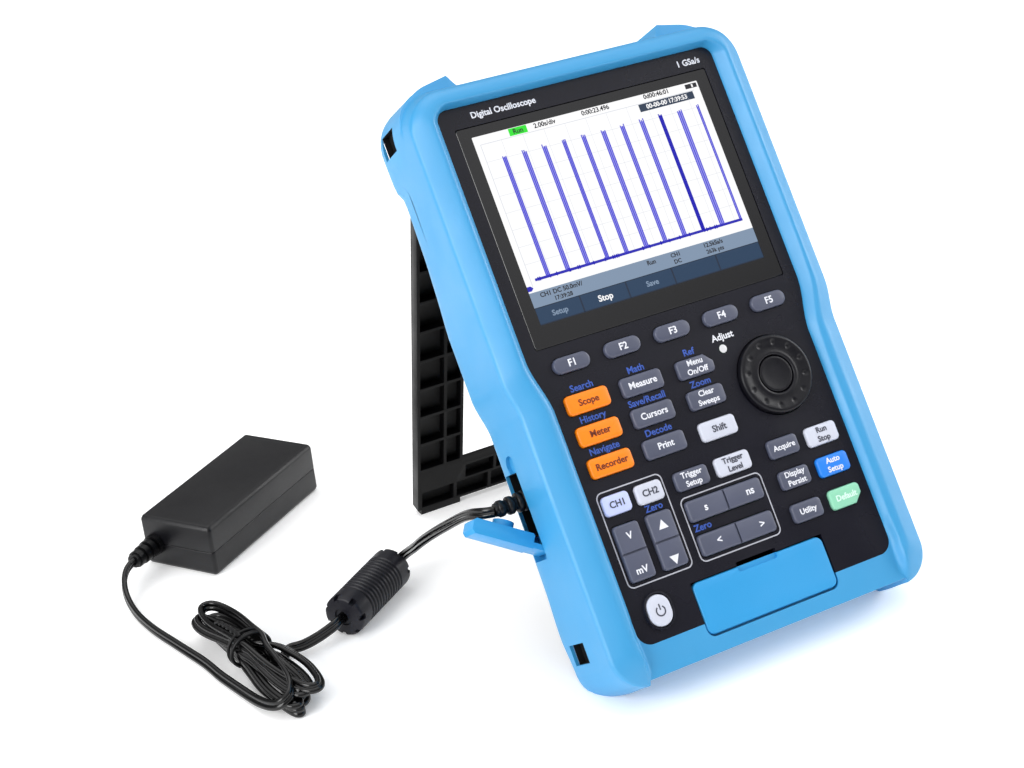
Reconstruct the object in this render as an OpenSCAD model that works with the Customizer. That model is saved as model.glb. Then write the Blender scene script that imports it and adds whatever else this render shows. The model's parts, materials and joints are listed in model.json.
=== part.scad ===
// Handheld two-channel oscilloscope on its open kickstand, plugged into its mains adapter.
// Millimetres. The case is drawn lying on its back: +X right, +Y up the face, +Z out of the face,
// with Z = 0 on the key panel and Y = 0 at the foot of the face. on_case() leans it back on its stand.

/* [Case] */
// Width of the case across the display
case_w = 165.4; // [164:0.2:167]
// Width of the case across the keys
waist_w = 160; // [159:0.5:161.5]
// Height of the face, from the foot to the top of the front rim
case_h = 262.5; // [262:0.5:265]
// How far the front rim stands above the key panel
rim_h = 6; // [4:0.5:7]
// Depth of the rubber sides behind the key panel
side_depth = 41; // [40:0.5:42]
// Height of the horns at the top corners above the front rim
horn_h = 8.1; // [6:0.1:9]
// Angle between the face and the bench
face_angle = 56; // [50:1:60]

/* [Panel] */
// Height that the keys stand above the panel
key_proud = 2; // [1:0.25:3]
// Gap round each key
key_gap = 0.35; // [0.3:0.05:0.5]
// Radius of the turning ring of the dial
dial_r = 17.6; // [16:0.1:17.6]

/* [Kickstand] */
// Angle between the open stand and the back of the case
stand_open = 48; // [44:1:50]
// Length of the stand from its hinge to its feet
stand_len = 198; // [190:1:198]
// Width of the stand
stand_w = 140; // [130:1:140]

/* [Port door] */
// Angle that the open port door has turned
door_open = 57; // [50:1:70]

/* [Adapter] */
// Length of the adapter's box
adapter_l = 92; // [85:1:95]
// Width of the adapter's box
adapter_w = 42; // [40:1:44]
// Height of the adapter's box
adapter_h = 27; // [25:1:28]
// Width of the flat twin lead
lead_w = 5; // [4:0.5:6]

/* [Hidden] */
// Plan position of the case's foot line from the origin, which is under the middle of the
// case, stand and port door together.
foot_x = 12.05;
foot_y = -108.9;
// Thicknesses and levels
panel_t = 3;
wall = 2.4;
back_z = -40.5;
foot_z = -47;
split_z = -24;
// The lowest edge of the leaning case is the back edge of its rear ledge.
ledge_y = 9.5;
lift = -(ledge_y * sin(face_angle) + foot_z * cos(face_angle));
// Kickstand hinge
hinge_y = 239;
hinge_z = -44;
pin_r = 2;
pin_gap = 0.05;
// Display
window_y = 193.5;
window_w = 126;
window_h = 99.6;
view_y = 196;
view_w = 116;
view_h = 88;
// Dial
dial_c = [40.2, 102.8];
button_r = 8.1;
// Meter flap
flap_w = 66.6;
flap_y0 = 8;
flap_y1 = 30.8;
flap_t = 2.6;
flap_pin = [9.6, -1.6];
// Port door and power plug
door_pin = [-77.3, 64.6];
door_z = -25;
door_w = 13;
door_out = -1.57;
door_in = 4.93;
door_y1 = 35.2;
plug_c = [88, -30];
plug_x = -79.5;
relief_l = 13.5;
// Adapter
adapter_corner = [-175.5, 221.7];
adapter_turn = 34.4;
gland_at = 34.5;
gland_z = 12.5;
gland_l = 18;
// Ferrite
ferrite_r = 10;
ferrite_a = [-107.6, 162.2];
ferrite_b = [-145.3, 135.2];
// Hank
hank_c = [-189, 132];
hank_turn = -82;
hank_l = 98;
hank_w = 26.6;
hank_h = 17;

// Colours
rubber_blue = [0.40, 0.70, 0.92];
panel_black = [0.16, 0.15, 0.19];
key_grey = [0.33, 0.34, 0.39];
key_orange = [1.0, 0.60, 0.15];
key_white = [0.88, 0.88, 0.92];
key_blue = [0.25, 0.58, 0.94];
key_mint = [0.62, 0.83, 0.74];
case_black = [0.08, 0.08, 0.09];

// Keys: name, x, y, width, height, corner radius, colour, clipped corner (0 none, 1 top, 2 foot)
ROUND = [
    for (i = [0:4]) [str("key_f", i + 1), -50 + 25 * i, 134.5, 17.5, 7, 3.4, key_grey, 0]
];
MODE = [
    ["key_scope", -49, 117.2, 20.5, 8.6, 2, key_orange, 0],
    ["key_meter", -49, 103.3, 20.5, 8.6, 2, key_orange, 0],
    ["key_recorder", -49, 89.3, 20.5, 8.6, 2, key_orange, 0],
    ["key_measure", -22.4, 117.2, 20.2, 8.6, 2, key_grey, 0],
    ["key_cursors", -22.4, 103.3, 20.2, 8.6, 2, key_grey, 0],
    ["key_print", -22.4, 89.3, 20.2, 8.6, 2, key_grey, 0],
    ["key_menu", 4.4, 116.8, 18, 8.5, 2, key_grey, 1],
    ["key_clear", 4.4, 102.9, 18, 8.5, 2, key_grey, 0],
    ["key_shift", 4.4, 88.7, 18, 8.5, 2, key_white, 0]
];
LOWER = [
    ["key_channel_1", -53, 72.7, 12.8, 8.6, 2, key_white, 0],
    ["key_channel_2", -37, 72.7, 12.8, 8.6, 2, key_white, 0],
    ["key_trigger_setup", -16, 72.4, 16.5, 8.4, 2, key_grey, 0],
    ["key_trigger_level", 5, 72.4, 17.3, 8.4, 2, key_white, 0],
    ["key_acquire", 31, 72, 15.2, 8.4, 2, key_grey, 0],
    ["key_display", 31, 57.8, 15.2, 8.4, 2, key_grey, 0],
    ["key_utility", 31, 42.8, 15.2, 8.4, 2, key_grey, 0],
    ["key_run_stop", 51.3, 71.6, 16, 8.8, 2, key_white, 0],
    ["key_auto_setup", 51.3, 57.6, 16, 8.8, 2, key_blue, 0],
    ["key_default", 51.3, 42.7, 16, 8.8, 2, key_mint, 2],
    ["key_power", -51.5, 25.5, 10.8, 13.4, 5.3, key_white, 0]
];
KEYS = concat(ROUND, MODE, LOWER);
// Rocking keys: name, x, y, width, height
ROCKERS = [
    ["rocker_volts", -53, 51.7, 12.2, 24.5],
    ["rocker_position", -37, 51.7, 12.2, 24.5],
    ["rocker_timebase", -4.8, 59, 37.6, 9.4],
    ["rocker_horizontal", -4.8, 44, 37.6, 9.4]
];

// Outlines. The same recipe draws the outer edge and the panel's edge, point for point.
function smooth(t) = t * t * (3 - 2 * t);
function arc(c, r, a, b, n) = [for (i = [0:n]) c + r * [cos(a + (b - a) * i / n), sin(a + (b - a) * i / n)]];
function half_line(low, high, y0, y1, r0, r1, s0, s1, bump) = concat(
    [for (i = [0:4]) [bump > 0 ? (low - r0 + 0.3) * i / 4 : (low - r0) * i / 4.4, y0]],
    arc([low - r0, y0 + r0 - bump], r0, bump > 0 ? -81.6 : -90, 0, 6),
    [for (i = [0:6]) [low + (high - low) * smooth(i / 6), s0 + (s1 - s0) * i / 6]],
    arc([high - r1, y1 - r1], r1, 0, 90, 6),
    [for (x = [58.5, 53.7, 49.4, 32, 16]) [x, y1]]
);
function whole(h) = concat(h, [for (i = [len(h) - 1:-1:1]) [-h[i][0], h[i][1]]]);
OUTER = whole(half_line(waist_w / 2, case_w / 2, 0, case_h, 15, 18, 118, 136, 2));
INNER = whole(half_line(waist_w / 2 - 15.2, case_w / 2 - 13.5, 13.5, 253, 6.5, 5, 116, 141, 0));
function between(s) = [for (i = [0:len(OUTER) - 1]) OUTER[i] + s * (INNER[i] - OUTER[i])];
// Lift of the case's foot with depth, so that the underside slopes up towards the bench
function foot_rise(p, z, s) = s > 0.5 || abs(p[0]) > 66 ? 0 : max(0, -z) * 0.18 * max(0, 1 - p[1] / 60);
// The top corners flare behind the rim, and stand up as horns.
function horn_tall(x) = x < 49.5 ? 0 : x < 71 ? horn_h - (x - 53.7) * 0.2 : horn_h - 3.9;
function horn_side(y) = smooth(max(0, min(1, (y - 232) / 22)));
function horn_rise(p, z, s) =
    s > 0.5 || z >= -2 ? 0 :
    (z > -9.5 ? min(2.7, horn_tall(abs(p[0]))) * min(1, -z / 9) : horn_tall(abs(p[0]))) * horn_side(p[1]);
// The rim dips to the panel across the middle of the foot.
function rim_share(p) = p[1] > 30 ? 1 : max(0, min(1, (abs(p[0]) - 52) / 12));

// A ring lofted through levels of [share towards the panel's edge, z]
module lofted_ring(levels) {
    n = len(OUTER);
    m = len(levels);
    points = [
        for (l = levels) let (line = between(l[0]))
        for (p = line) [p[0], p[1] + foot_rise(p, l[1], l[0]) + horn_rise(p, l[1], l[0]),
            l[1] > 0 ? l[1] * rim_share(p) : l[1]]
    ];
    faces = [
        for (k = [0:m - 1], i = [0:n - 1])
        let (a = k * n + i, b = k * n + (i + 1) % n, up = ((k + 1) % m) * n, c = up + i, d = up + (i + 1) % n)
        each [[a, d, b], [a, c, d]]
    ];
    polyhedron(points, faces, convexity = 6);
}
module plate(s, z0, z1) translate([0, 0, z0]) linear_extrude(z1 - z0) polygon(between(s));
module slab(w, h, t, r = 0) translate([0, 0, -t / 2]) linear_extrude(t)
    polygon(r > 0 ? rounded(w, h, r) : rounded(w, h, 0.01));
function rounded(w, h, r) = [
    for (q = [0:3]) let (sx = q == 0 || q == 3 ? 1 : -1, sy = q < 2 ? 1 : -1)
    each arc([sx * (w / 2 - r), sy * (h / 2 - r)], r, 90 * q, 90 * q + 90, 6)
];
module on_case() translate([foot_x, foot_y, lift]) rotate([face_angle, 0, 0]) children();
module below_bench() translate([-300, -300, -50]) cube([600, 900, 50]);
module on_bench() translate([foot_x, foot_y, 0]) children();

// Keys
function clipped(w, h, r, cut) =
    cut == 0 ? rounded(w, h, r) :
    let (c = h * 0.45, s = cut == 1 ? 1 : -1, half = rounded(w, h, r))
    concat([[w / 2, s * (h / 2 - c)], [w / 2 - c, s * h / 2]],
        s > 0 ? [for (i = [7:27]) half[i]] : [for (i = [20:-1:0]) half[i]]);
module key_cap(k) color(k[6]) on_case() translate([k[1], k[2], 0]) {
    translate([0, 0, -4.4]) linear_extrude(4.4 + key_proud - 0.5)
        polygon(clipped(k[3], k[4], k[5], k[7]));
    translate([0, 0, key_proud - 0.5]) linear_extrude(0.5)
        polygon(clipped(k[3] - 1, k[4] - 1, k[5] - 0.4, k[7]));
    translate([0, 0, -5]) linear_extrude(1.6) polygon(rounded(k[3] + 2, k[4] + 2, 1));
}
module key_hole(x, y, w, h, r, cut = 0) translate([x, y, -panel_t - 1]) linear_extrude(panel_t + 2)
    polygon(clipped(w + 2 * key_gap, h + 2 * key_gap, r + key_gap, cut));
module rocker(k) color(key_grey) on_case() translate([k[1], k[2], 0]) difference() {
    union() {
        translate([0, 0, -2.2]) slab(k[3], k[4], 4.6, 1.6);
        translate([0, 0, (key_proud + 0.1) / 2]) slab(k[3] - 0.8, k[4] - 0.8, key_proud + 0.1, 1.4);
    }
    if (k[3] > k[4]) translate([-0.5, -20, key_proud - 0.6]) cube([1, 40, 2]);
    else translate([-20, -0.5, key_proud - 0.6]) cube([40, 1, 2]);
}

// Dial
module dial_ring() color([0.12, 0.12, 0.14]) on_case() translate([dial_c[0], dial_c[1], 0])
    difference() {
        rotate_extrude($fn = 96) polygon([
            [4.06, -5.6], [dial_r, -5.6], [dial_r, 2.2], [dial_r - 1, 3], [14.6, 3.2], [11, 2.4],
            [button_r + 0.6, 2.6], [button_r + 0.4, 2.2], [button_r + 0.4, -3.4], [4.06, -3.4]
        ]);
        for (a = [15:30:345]) rotate(a) translate([14.2, 0, 3.6]) sphere(1.3, $fn = 24);
    }
module dial_button() color([0.17, 0.17, 0.19]) on_case() translate([dial_c[0], dial_c[1], 0]) {
    rotate_extrude($fn = 72)
        polygon([[0, -1.2], [button_r, -1.2], [button_r, 1.6], [button_r - 0.8, 2.4], [0, 2.1]]);
    translate([0, 0, -3.2]) cylinder(r = 2, h = 2.2, $fn = 36);
}
module dial_encoder() color("silver") on_case() translate([dial_c[0], dial_c[1], 0]) difference() {
    union() {
        translate([0, 0, -8.6]) cylinder(r = 4, h = 4, $fn = 48);
        translate([0, 0, -9.6]) slab(15, 15, 3, 1);
    }
    translate([0, 0, -12]) cylinder(r = 1, h = 4, $fn = 24);
}

// Case
module strap_slots() for (s = [-1, 1], y = [[249.5, 7.5, case_w], [15.5, 8, waist_w]])
    translate([0, y[0], 0]) {
        translate([s * y[2] / 2 - 5, 0, -36]) cube([10, y[1], 16]);
        translate([s * (y[2] / 2 - 3) - 2, 0, -50]) cube([4, y[1], 15]);
    }
module top_bay() translate([-48, 249, -37]) cube([96, 30, 31]);
module flap_pocket() {
    translate([-flap_w / 2 - 0.4, flap_y0 - 1, -3.5]) cube([flap_w + 0.8, flap_y1 - flap_y0 + 1.4, 8.3]);
    translate([-10, flap_y1 - 1, -3.2]) cube([20, 2.9, 8]);
    translate([0, flap_pin[0], flap_pin[1]]) rotate([0, 90, 0])
        cylinder(r = 1.35, h = flap_w + 4, center = true, $fn = 24);
}
module port_cut() translate([-90, 71.8, -38.4]) cube([25, 28.4, 13.8]);
BOSSES = [for (s = [-1, 1], y = [44, 150, 228]) [s * (y > 140 ? 66.5 : 63.5), y]];
module jack_holes() for (x = BNC_X) translate([x, 240, -22]) rotate([-90, 0, 0])
    cylinder(r = 4.9, h = 12, $fn = 48);
module front_case() color(panel_black) on_case() difference() {
    union() {
        plate(0.55, split_z, -4);
        plate(1, -5, 0);
    }
    difference() {
        plate(0.75, split_z - 1, -6.6);
        for (b = BOSSES) translate([b[0], b[1], -30]) cylinder(r = 3.4, h = 26, $fn = 32);
        translate([-50, 246.4, -30]) cube([100, 2.4, 30]);
    }
    difference() {
        plate(1.18, -8, -panel_t);
        translate([-50, 246.4, -10]) cube([100, 8, 10]);
    }
    for (b = BOSSES) translate([b[0], b[1], split_z - 1]) cylinder(r = 1.5, h = 16, $fn = 24);
    translate([0, window_y, -0.8]) slab(window_w + 0.4, window_h + 0.4, 1.64, 1);
    translate([0, view_y, -2]) slab(view_w, view_h, 6);
    for (k = KEYS) key_hole(k[1], k[2], k[3], k[4], k[5], k[7]);
    for (k = ROCKERS) key_hole(k[1], k[2], k[3], k[4], 1.6);
    translate([dial_c[0], dial_c[1], -6]) cylinder(r = dial_r + 0.5, h = 10, $fn = 96);
    translate([20.9, 120.5, -5]) cylinder(r = 2, h = 8, $fn = 24);
    flap_pocket();
    translate([-flap_w / 2 + 3, 14, -12]) cube([flap_w - 6, 16, 12]);
    top_bay();
    jack_holes();
}
module front_bumper() color(rubber_blue) on_case() difference() {
    lofted_ring([[0, split_z], [0, -9.9], [0, -9.2], [0, -1], [0.06, 0.8], [0.6, rim_h - 0.2], [0.68, rim_h],
                 [0.76, rim_h - 0.8], [0.97, 0.4], [1, 0], [1, -4], [0.55, -4], [0.55, split_z]]);
    strap_slots();
    flap_pocket();
    top_bay();
    door_cut();
}
module rear_bumper() color(rubber_blue) difference() {
    on_case() rear_rubber();
    below_bench();
}
module rear_rubber() difference() {
    lofted_ring([[0, -36], [0, split_z], [0.55, split_z], [0.55, -side_depth], [0.22, -side_depth],
                 [0.06, -39]]);
    strap_slots();
    top_bay();
    port_cut();
    door_cut();
}
module hinge_ear(s) translate([s * 72.6, hinge_y, hinge_z]) rotate([0, 90, 0]) {
    cylinder(r = 4.5, h = 4, center = true, $fn = 48);
    translate([-6, -4.5, -2]) cube([6, 9, 4]);
}
module rear_case() color(case_black) difference() {
    on_case() rear_tray();
    below_bench();
}
module rear_tray() difference() {
    union() {
        difference() {
            plate(0.55, back_z, split_z);
            plate(0.68, back_z + wall, split_z + 1);
        }
        for (b = BOSSES) translate([b[0], b[1], back_z]) cylinder(r = 3.4, h = 16.3, $fn = 32);
        for (s = [-1, 1]) hinge_ear(s);
        translate([-62, ledge_y - 1.8, foot_z]) cube([124, 25.8, 7.5]);
        translate([-50, 246.4, back_z]) cube([100, 2.4, split_z - back_z]);
    }
    for (s = [-1, 1]) translate([s * 72.6, hinge_y, hinge_z]) rotate([0, 90, 0])
        cylinder(r = pin_r + pin_gap, h = 8, center = true, $fn = 48);
    for (b = BOSSES) translate([b[0], b[1], 0]) {
        translate([0, 0, -31]) cylinder(r = 1.6, h = 11, $fn = 24);
        translate([0, 0, -42]) cylinder(r = 3, h = 12, $fn = 24);
    }
    translate([0, 118, back_z]) slab(88.6, 112.6, 2.5, 3);
    translate([0, 118, back_z]) slab(78, 102, 8, 3);
    port_cut();
    top_bay();
    jack_holes();
}
module battery_cover() color([0.13, 0.13, 0.14]) on_case() difference() {
    translate([0, 118, back_z + 0.6]) slab(88, 112, 1.2, 3);
    for (i = [0:7]) translate([-26, 84 + 3 * i, back_z - 0.5]) cube([52, 1.2, 1]);
}
module battery_pack() color([0.2, 0.35, 0.55]) on_case() translate([0, 118, -28.6])
    slab(74, 98, 18, 4);
module case_screws() color("silver") on_case() for (b = BOSSES) translate([b[0], b[1], 0]) {
    translate([0, 0, -30]) cylinder(r = 1.4, h = 20, $fn = 24);
    difference() {
        translate([0, 0, -31.9]) cylinder(r = 2.8, h = 1.9, $fn = 32);
        translate([0, 0, -32.5]) cylinder(r = 1.2, h = 1.4, $fn = 6);
    }
}

// Display and boards
module screen_lens() color([0.1, 0.1, 0.12]) on_case() translate([0, window_y, -0.85])
    slab(window_w, window_h, 1.5, 1);
module display_module() color([0.75, 0.78, 0.8]) on_case() {
    translate([0, 196, -6.2]) slab(122, 94, 6.2, 1.5);
    translate([0, view_y, -2.6]) slab(view_w - 0.8, view_h - 0.8, 1.6, 0.5);
}
module keypad_board() color([0.1, 0.35, 0.2]) on_case() difference() {
    union() {
        translate([0, 87, -7.2]) slab(122, 104, 1.4, 2);
        for (k = KEYS) if (k[2] > 36) translate([k[1], k[2], -6.5]) cylinder(r = 2.4, h = 0.4, $fn = 24);
        translate([20.9, 120.5, -6.6]) cylinder(r = 1.9, h = 6.7, $fn = 24);
    }
    translate([dial_c[0], dial_c[1], -9]) cylinder(r = 11, h = 4, $fn = 48);
}
module main_board() color([0.08, 0.3, 0.18]) on_case() {
    translate([0, 134, -14]) slab(119, 190, 1.6, 2);
    translate([-26, 196, -16.7]) slab(44, 40, 4, 1);
    translate([30, 196, -16.2]) slab(30, 30, 3, 1);
    translate([24, 150, -15.6]) slab(16, 16, 1.8, 0.4);
    for (i = [0:2]) translate([-30 + 18 * i, 60, -15.6]) slab(12, 10, 1.8, 0.4);
}

// Kickstand, drawn folded flat against the back and then swung open
module stand_pocket(x0, x1, y0, y1) translate([x0, y0, -1.4]) cube([x1 - x0, y1 - y0, 6]);
module leg_cells(s) for (i = [0:8]) let (y = -168 + 17 * i) {
    stand_pocket(s > 0 ? 55.6 : -68.4, s > 0 ? 68.4 : -55.6, y, y + 15.4);
    stand_pocket(s > 0 ? 46.4 : -54, s > 0 ? 54 : -46.4, y, y + 15.4);
}
module stand_body() difference() {
    union() {
        translate([-stand_w / 2, -stand_len + 4, -3]) cube([stand_w, stand_len - 8, 6]);
        for (s = [-1, 1]) {
            translate([s * 57 - 11, -stand_len, -3]) cube([22, 6, 6]);
            translate([s * (stand_w / 2 - 6), 0, 0]) rotate([0, 90, 0])
                cylinder(r = 3.3, h = 12, center = true, $fn = 40);
            translate([s * (stand_w / 2 - 6) - 6, -6, -3]) cube([12, 6, 6]);
        }
    }
    translate([-44.8, -172, -8]) cube([89.6, 140, 16]);
    translate([-stand_w / 2 + 12, -4, -8]) cube([stand_w - 24, 10, 16]);
    for (s = [-1, 1]) leg_cells(s);
    for (i = [-3:3]) stand_pocket(i * 19.6 - 8.9, i * 19.6 + 8.9, -192.5, -183);
    for (i = [-2:2]) stand_pocket(i * 17.6 - 8, i * 17.6 + 8, -181.6, -173.6);
    for (i = [-2:2]) stand_pocket(i * 17.6 - 8, i * 17.6 + 8, -30.4, -6);
}
module kickstand() color([0.09, 0.09, 0.1]) difference() {
    on_case() translate([0, hinge_y, hinge_z]) rotate([stand_open, 0, 0]) {
        stand_body();
        for (s = [-1, 1]) translate([s * 71.6, 0, 0]) rotate([0, 90, 0])
            cylinder(r = pin_r, h = 5.6, center = true, $fn = 48);
    }
    below_bench();
}

// Meter jacks and their flap
module meter_flap() color(rubber_blue) on_case() {
    difference() {
        translate([0, (flap_y0 + flap_y1) / 2, -flap_t / 2]) slab(flap_w, flap_y1 - flap_y0, flap_t, 3.4);
        translate([0, flap_y1, 0]) slab(20, 6, 2.4, 1);
        translate([-40, flap_y0 - 1, -5]) cube([80, 1.8, 3.4]);
    }
    for (s = [-1, 1]) translate([s * (flap_w / 2 + 0.6), flap_pin[0], flap_pin[1]]) rotate([0, 90, 0])
        cylinder(r = 1, h = 2, center = true, $fn = 24);
}
JACKS_X = [-22, 0, 22];
module meter_jacks() color([0.14, 0.14, 0.16]) on_case() difference() {
    translate([0, 22, -12.4]) slab(60, 14.4, 17.6, 1);
    for (x = JACKS_X) translate([x, 22, -19]) cylinder(r = 2.05, h = 20, $fn = 48);
}

// Side door, port block and the top jacks
module side_door() color(rubber_blue) on_case()
    translate([door_pin[0], door_pin[1], door_z - door_w]) rotate(door_open) {
        linear_extrude(door_w) polygon([
            [-1.2, 0], [-0.6, -1], [0.6, -1], [1.2, 0], [1.2, 7.6], [door_in - 0.8, 7.6], [door_in, 8.4],
            [door_in, door_y1 - 1], [door_in - 1, door_y1], [door_out + 1.5, door_y1],
            [door_out, door_y1 - 1.5], [door_out, 7.6], [-1.2, 7.2]
        ]);
        translate([door_in, 20.6, door_w / 2]) rotate([0, 90, 0]) cylinder(r = 4.6, h = 3, $fn = 40);
        translate([0, 0, -1.6]) cylinder(r = 1, h = door_w + 3.2, $fn = 24);
    }
module door_cut() {
    translate([-90, 61.4, door_z - door_w - 0.4]) cube([15, 12, door_w + 0.8]);
    translate([door_pin[0], door_pin[1], door_z - door_w - 2]) cylinder(r = 1.35, h = door_w + 4, $fn = 24);
}
module port_block() color(case_black) on_case() difference() {
    translate([-69.2, 75, -37]) cube([14, 24, 11.6]);
    translate([-69.6, plug_c[0], plug_c[1]]) rotate([0, 90, 0]) cylinder(r = 3, h = 10, $fn = 40);
    translate([-69.6, 77, -34]) cube([8, 6.4, 3]);
}
BNC_X = [-30, 30];
module bnc_jacks() color([0.82, 0.83, 0.85]) on_case() for (x = BNC_X)
    translate([x, 248, -22]) rotate([-90, 0, 0]) {
        difference() {
            union() {
                translate([0, 0, -6]) cylinder(r = 4.6, h = 9, $fn = 48);
                translate([0, 0, 3]) cylinder(r = 4.8, h = 9.5, $fn = 48);
                translate([0, 0, 1]) cylinder(r = 7, h = 2, $fn = 6);
            }
            translate([0, 0, 3]) cylinder(r = 4, h = 12, $fn = 40);
        }
        translate([0, 0, 2.5]) cylinder(r = 1.2, h = 8, $fn = 20);
    }

// Power plug, flat twin lead, ferrite, hank and adapter
module dc_plug() color([0.1, 0.1, 0.11]) on_case() translate([plug_x, plug_c[0], plug_c[1]])
    rotate([0, -90, 0]) {
        translate([0, 0, -18]) cylinder(r = 2.75, h = 10, $fn = 36);
        translate([0, 0, -10.2]) cylinder(r = 4.6, h = 10.2, $fn = 36);
        for (i = [0:2]) translate([0, 0, 4.6 * i]) cylinder(r = 4.3 - 0.3 * i, h = 3.2, $fn = 36);
        cylinder(r = 3, h = relief_l, $fn = 36);
    }
// Route points: x, y, z over the bench, from the case's foot line
lead_in = [[-93, 73.9, 74.2], [-96.5, 76, 73.6], [-99, 82, 71.5], [-100, 91, 66.5], [-101, 106, 56],
           [-101, 125, 42.5], [-101, 139, 32], [-100.4, 150, 23.4],
           [-100.3, 158.5, 17], [-101.4, 163.5, 12.6], [-104.2, 164.4, ferrite_r + 0.3],
           [-107.6, 162.2, ferrite_r]];
lead_mid = [[-145.3, 135.2, ferrite_r], [-152, 132.2, 9], [-160, 131.5, 6.8], [-168, 133, 4.4],
            [-174.5, 135, 3.4]];
lead_out = [[-205.4, 134.5, 2.5], [-206.5, 142, 2.5], [-208, 151, 2.5], [-211, 163, 2.5],
            [-214, 175, 2.5], [-217.5, 189, 2.5], [-219.8, 204, 2.5], [-220.2, 216, 2.9],
            [-219.6, 226, 5], [-217.5, 233, 9], [-214, 237, 12], [-209.8, 239.9, 12.5]];
function unit(v) = v / norm(v);
function along(p, i) = unit(p[min(i + 1, len(p) - 1)] - p[max(i - 1, 0)]);
module lead(p, start, end) {
    n = 8;
    points = [
        for (i = [0:len(p) - 1])
        let (t = i == 0 ? unit(start) : i == len(p) - 1 ? unit(end) : along(p, i))
        let (side = unit(cross(t, abs(t[2]) > 0.9 ? [1, 0, 0] : [0, 0, 1])), up = cross(side, t))
        for (j = [0:n - 1]) p[i] + lead_w / 2 * (cos(360 * j / n) * side + sin(360 * j / n) * up)
    ];
    m = len(p);
    walls = [
        for (i = [0:m - 2], j = [0:n - 1])
        let (a = i * n + j, b = i * n + (j + 1) % n, c = a + n, d = b + n)
        each [[a, c, b], [b, c, d]]
    ];
    polyhedron(points, concat(walls, [[for (j = [0:n - 1]) j], [for (j = [n - 1:-1:0]) (m - 1) * n + j]]));
}
ferrite_way = concat(ferrite_b - ferrite_a, [0]);
gland_way = [cos(adapter_turn), sin(adapter_turn), 0];
module cord_from_plug() color(case_black) on_bench()
    lead(concat([lead_in[0] - [0.1, 0, 0]], [for (i = [1:len(lead_in) - 1]) lead_in[i]]),
         [-1, 0, 0], ferrite_way);
module cord_from_ferrite() color(case_black) on_bench()
    lead(lead_mid, ferrite_way, lead_mid[4] - lead_mid[3]);
module cord_to_adapter() color(case_black) on_bench() lead(lead_out, lead_out[1] - lead_out[0], gland_way);
module ferrite() color([0.2, 0.2, 0.22]) on_bench() {
    way = ferrite_b - ferrite_a;
    l = norm(way);
    translate([ferrite_a[0], ferrite_a[1], ferrite_r]) rotate([0, 0, atan2(way[1], way[0])])
        rotate([0, 90, 0]) rotate_extrude($fn = 60) polygon(concat(
            [[0.5, 0.2], [5.4, 0.2], [ferrite_r - 1.2, 0.6], [ferrite_r, 1.8]],
            [for (i = [0:11]) each [
                [ferrite_r, 9 + 2.4 * i], [ferrite_r - 0.6, 9.3 + 2.4 * i],
                [ferrite_r - 0.6, 10.1 + 2.4 * i], [ferrite_r, 10.4 + 2.4 * i]
            ]],
            [[ferrite_r, l - 1.8], [ferrite_r - 1.2, l - 0.6], [5.4, l - 0.2], [0.5, l - 0.2]]
        ));
}
module in_hank() on_bench() translate([hank_c[0], hank_c[1], 0]) rotate(hank_turn) children();
module cord_hank() color(case_black) in_hank()
    linear_extrude(hank_h) polygon(rounded(hank_l, hank_w, hank_w / 2 - 0.1));
module cord_tie() color([0.05, 0.05, 0.05]) in_hank() translate([-6, 0, hank_h + 0.02])
    linear_extrude(2) polygon(rounded(5, hank_w - 8, 1));
module on_adapter() on_bench() translate([adapter_corner[0], adapter_corner[1], 0])
    rotate(adapter_turn) children();
module box_half(z0, z1, taper) on_adapter() hull() for (x = [2, adapter_l - 2], y = [2, adapter_w - 2]) {
    translate([x, y, taper > 0 ? z0 : z0 + 2]) cylinder(r = 2, h = z1 - z0 - 2, $fn = 24);
    translate([x + (x < 9 ? 0.3 : -0.3), y + (y < 9 ? 0.3 : -0.3), taper > 0 ? z1 - 2 : z0 + 2])
        sphere(2, $fn = 24);
}
module adapter_base() color(case_black) difference() {
    box_half(0, 13, -1);
    on_adapter() translate([adapter_l - 12, adapter_w / 2 - 9, 5]) cube([14, 18, 9]);
}
module adapter_top() color(case_black) difference() {
    box_half(13, adapter_h, 1);
    on_adapter() translate([adapter_l - 12, adapter_w / 2 - 9, 12]) cube([14, 18, 9]);
}
module adapter_gland() color(case_black) on_adapter() translate([0, gland_at, gland_z])
    rotate([0, -90, 0]) {
        for (i = [0:3]) translate([0, 0, 0.1 + 4.4 * i]) cylinder(r = 5.4 - 0.4 * i, h = 2.8, $fn = 36);
        translate([0, 0, 0.1]) cylinder(r = 3.4, h = gland_l - 0.2, $fn = 36);
    }
module adapter_inlet() color([0.15, 0.15, 0.16]) on_adapter() difference() {
    translate([adapter_l - 11.6, adapter_w / 2 - 8.6, 5.4]) cube([11, 17.2, 15.2]);
    translate([adapter_l - 9, adapter_w / 2 - 7, 7.4]) cube([12, 14, 11.2]);
}

for (k = KEYS) key_cap(k);
for (k = ROCKERS) rocker(k);
dial_ring();
dial_button();
dial_encoder();
front_case();
front_bumper();
rear_bumper();
rear_case();
screen_lens();
display_module();
keypad_board();
main_board();
battery_pack();
battery_cover();
case_screws();
kickstand();
meter_flap();
meter_jacks();
side_door();
port_block();
bnc_jacks();
dc_plug();
cord_from_plug();
ferrite();
cord_from_ferrite();
cord_hank();
cord_tie();
cord_to_adapter();
adapter_top();
adapter_base();
adapter_gland();
adapter_inlet();
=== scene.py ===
import json
import math

import bpy
import bmesh
import numpy as np
from mathutils import Matrix, Vector


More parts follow.
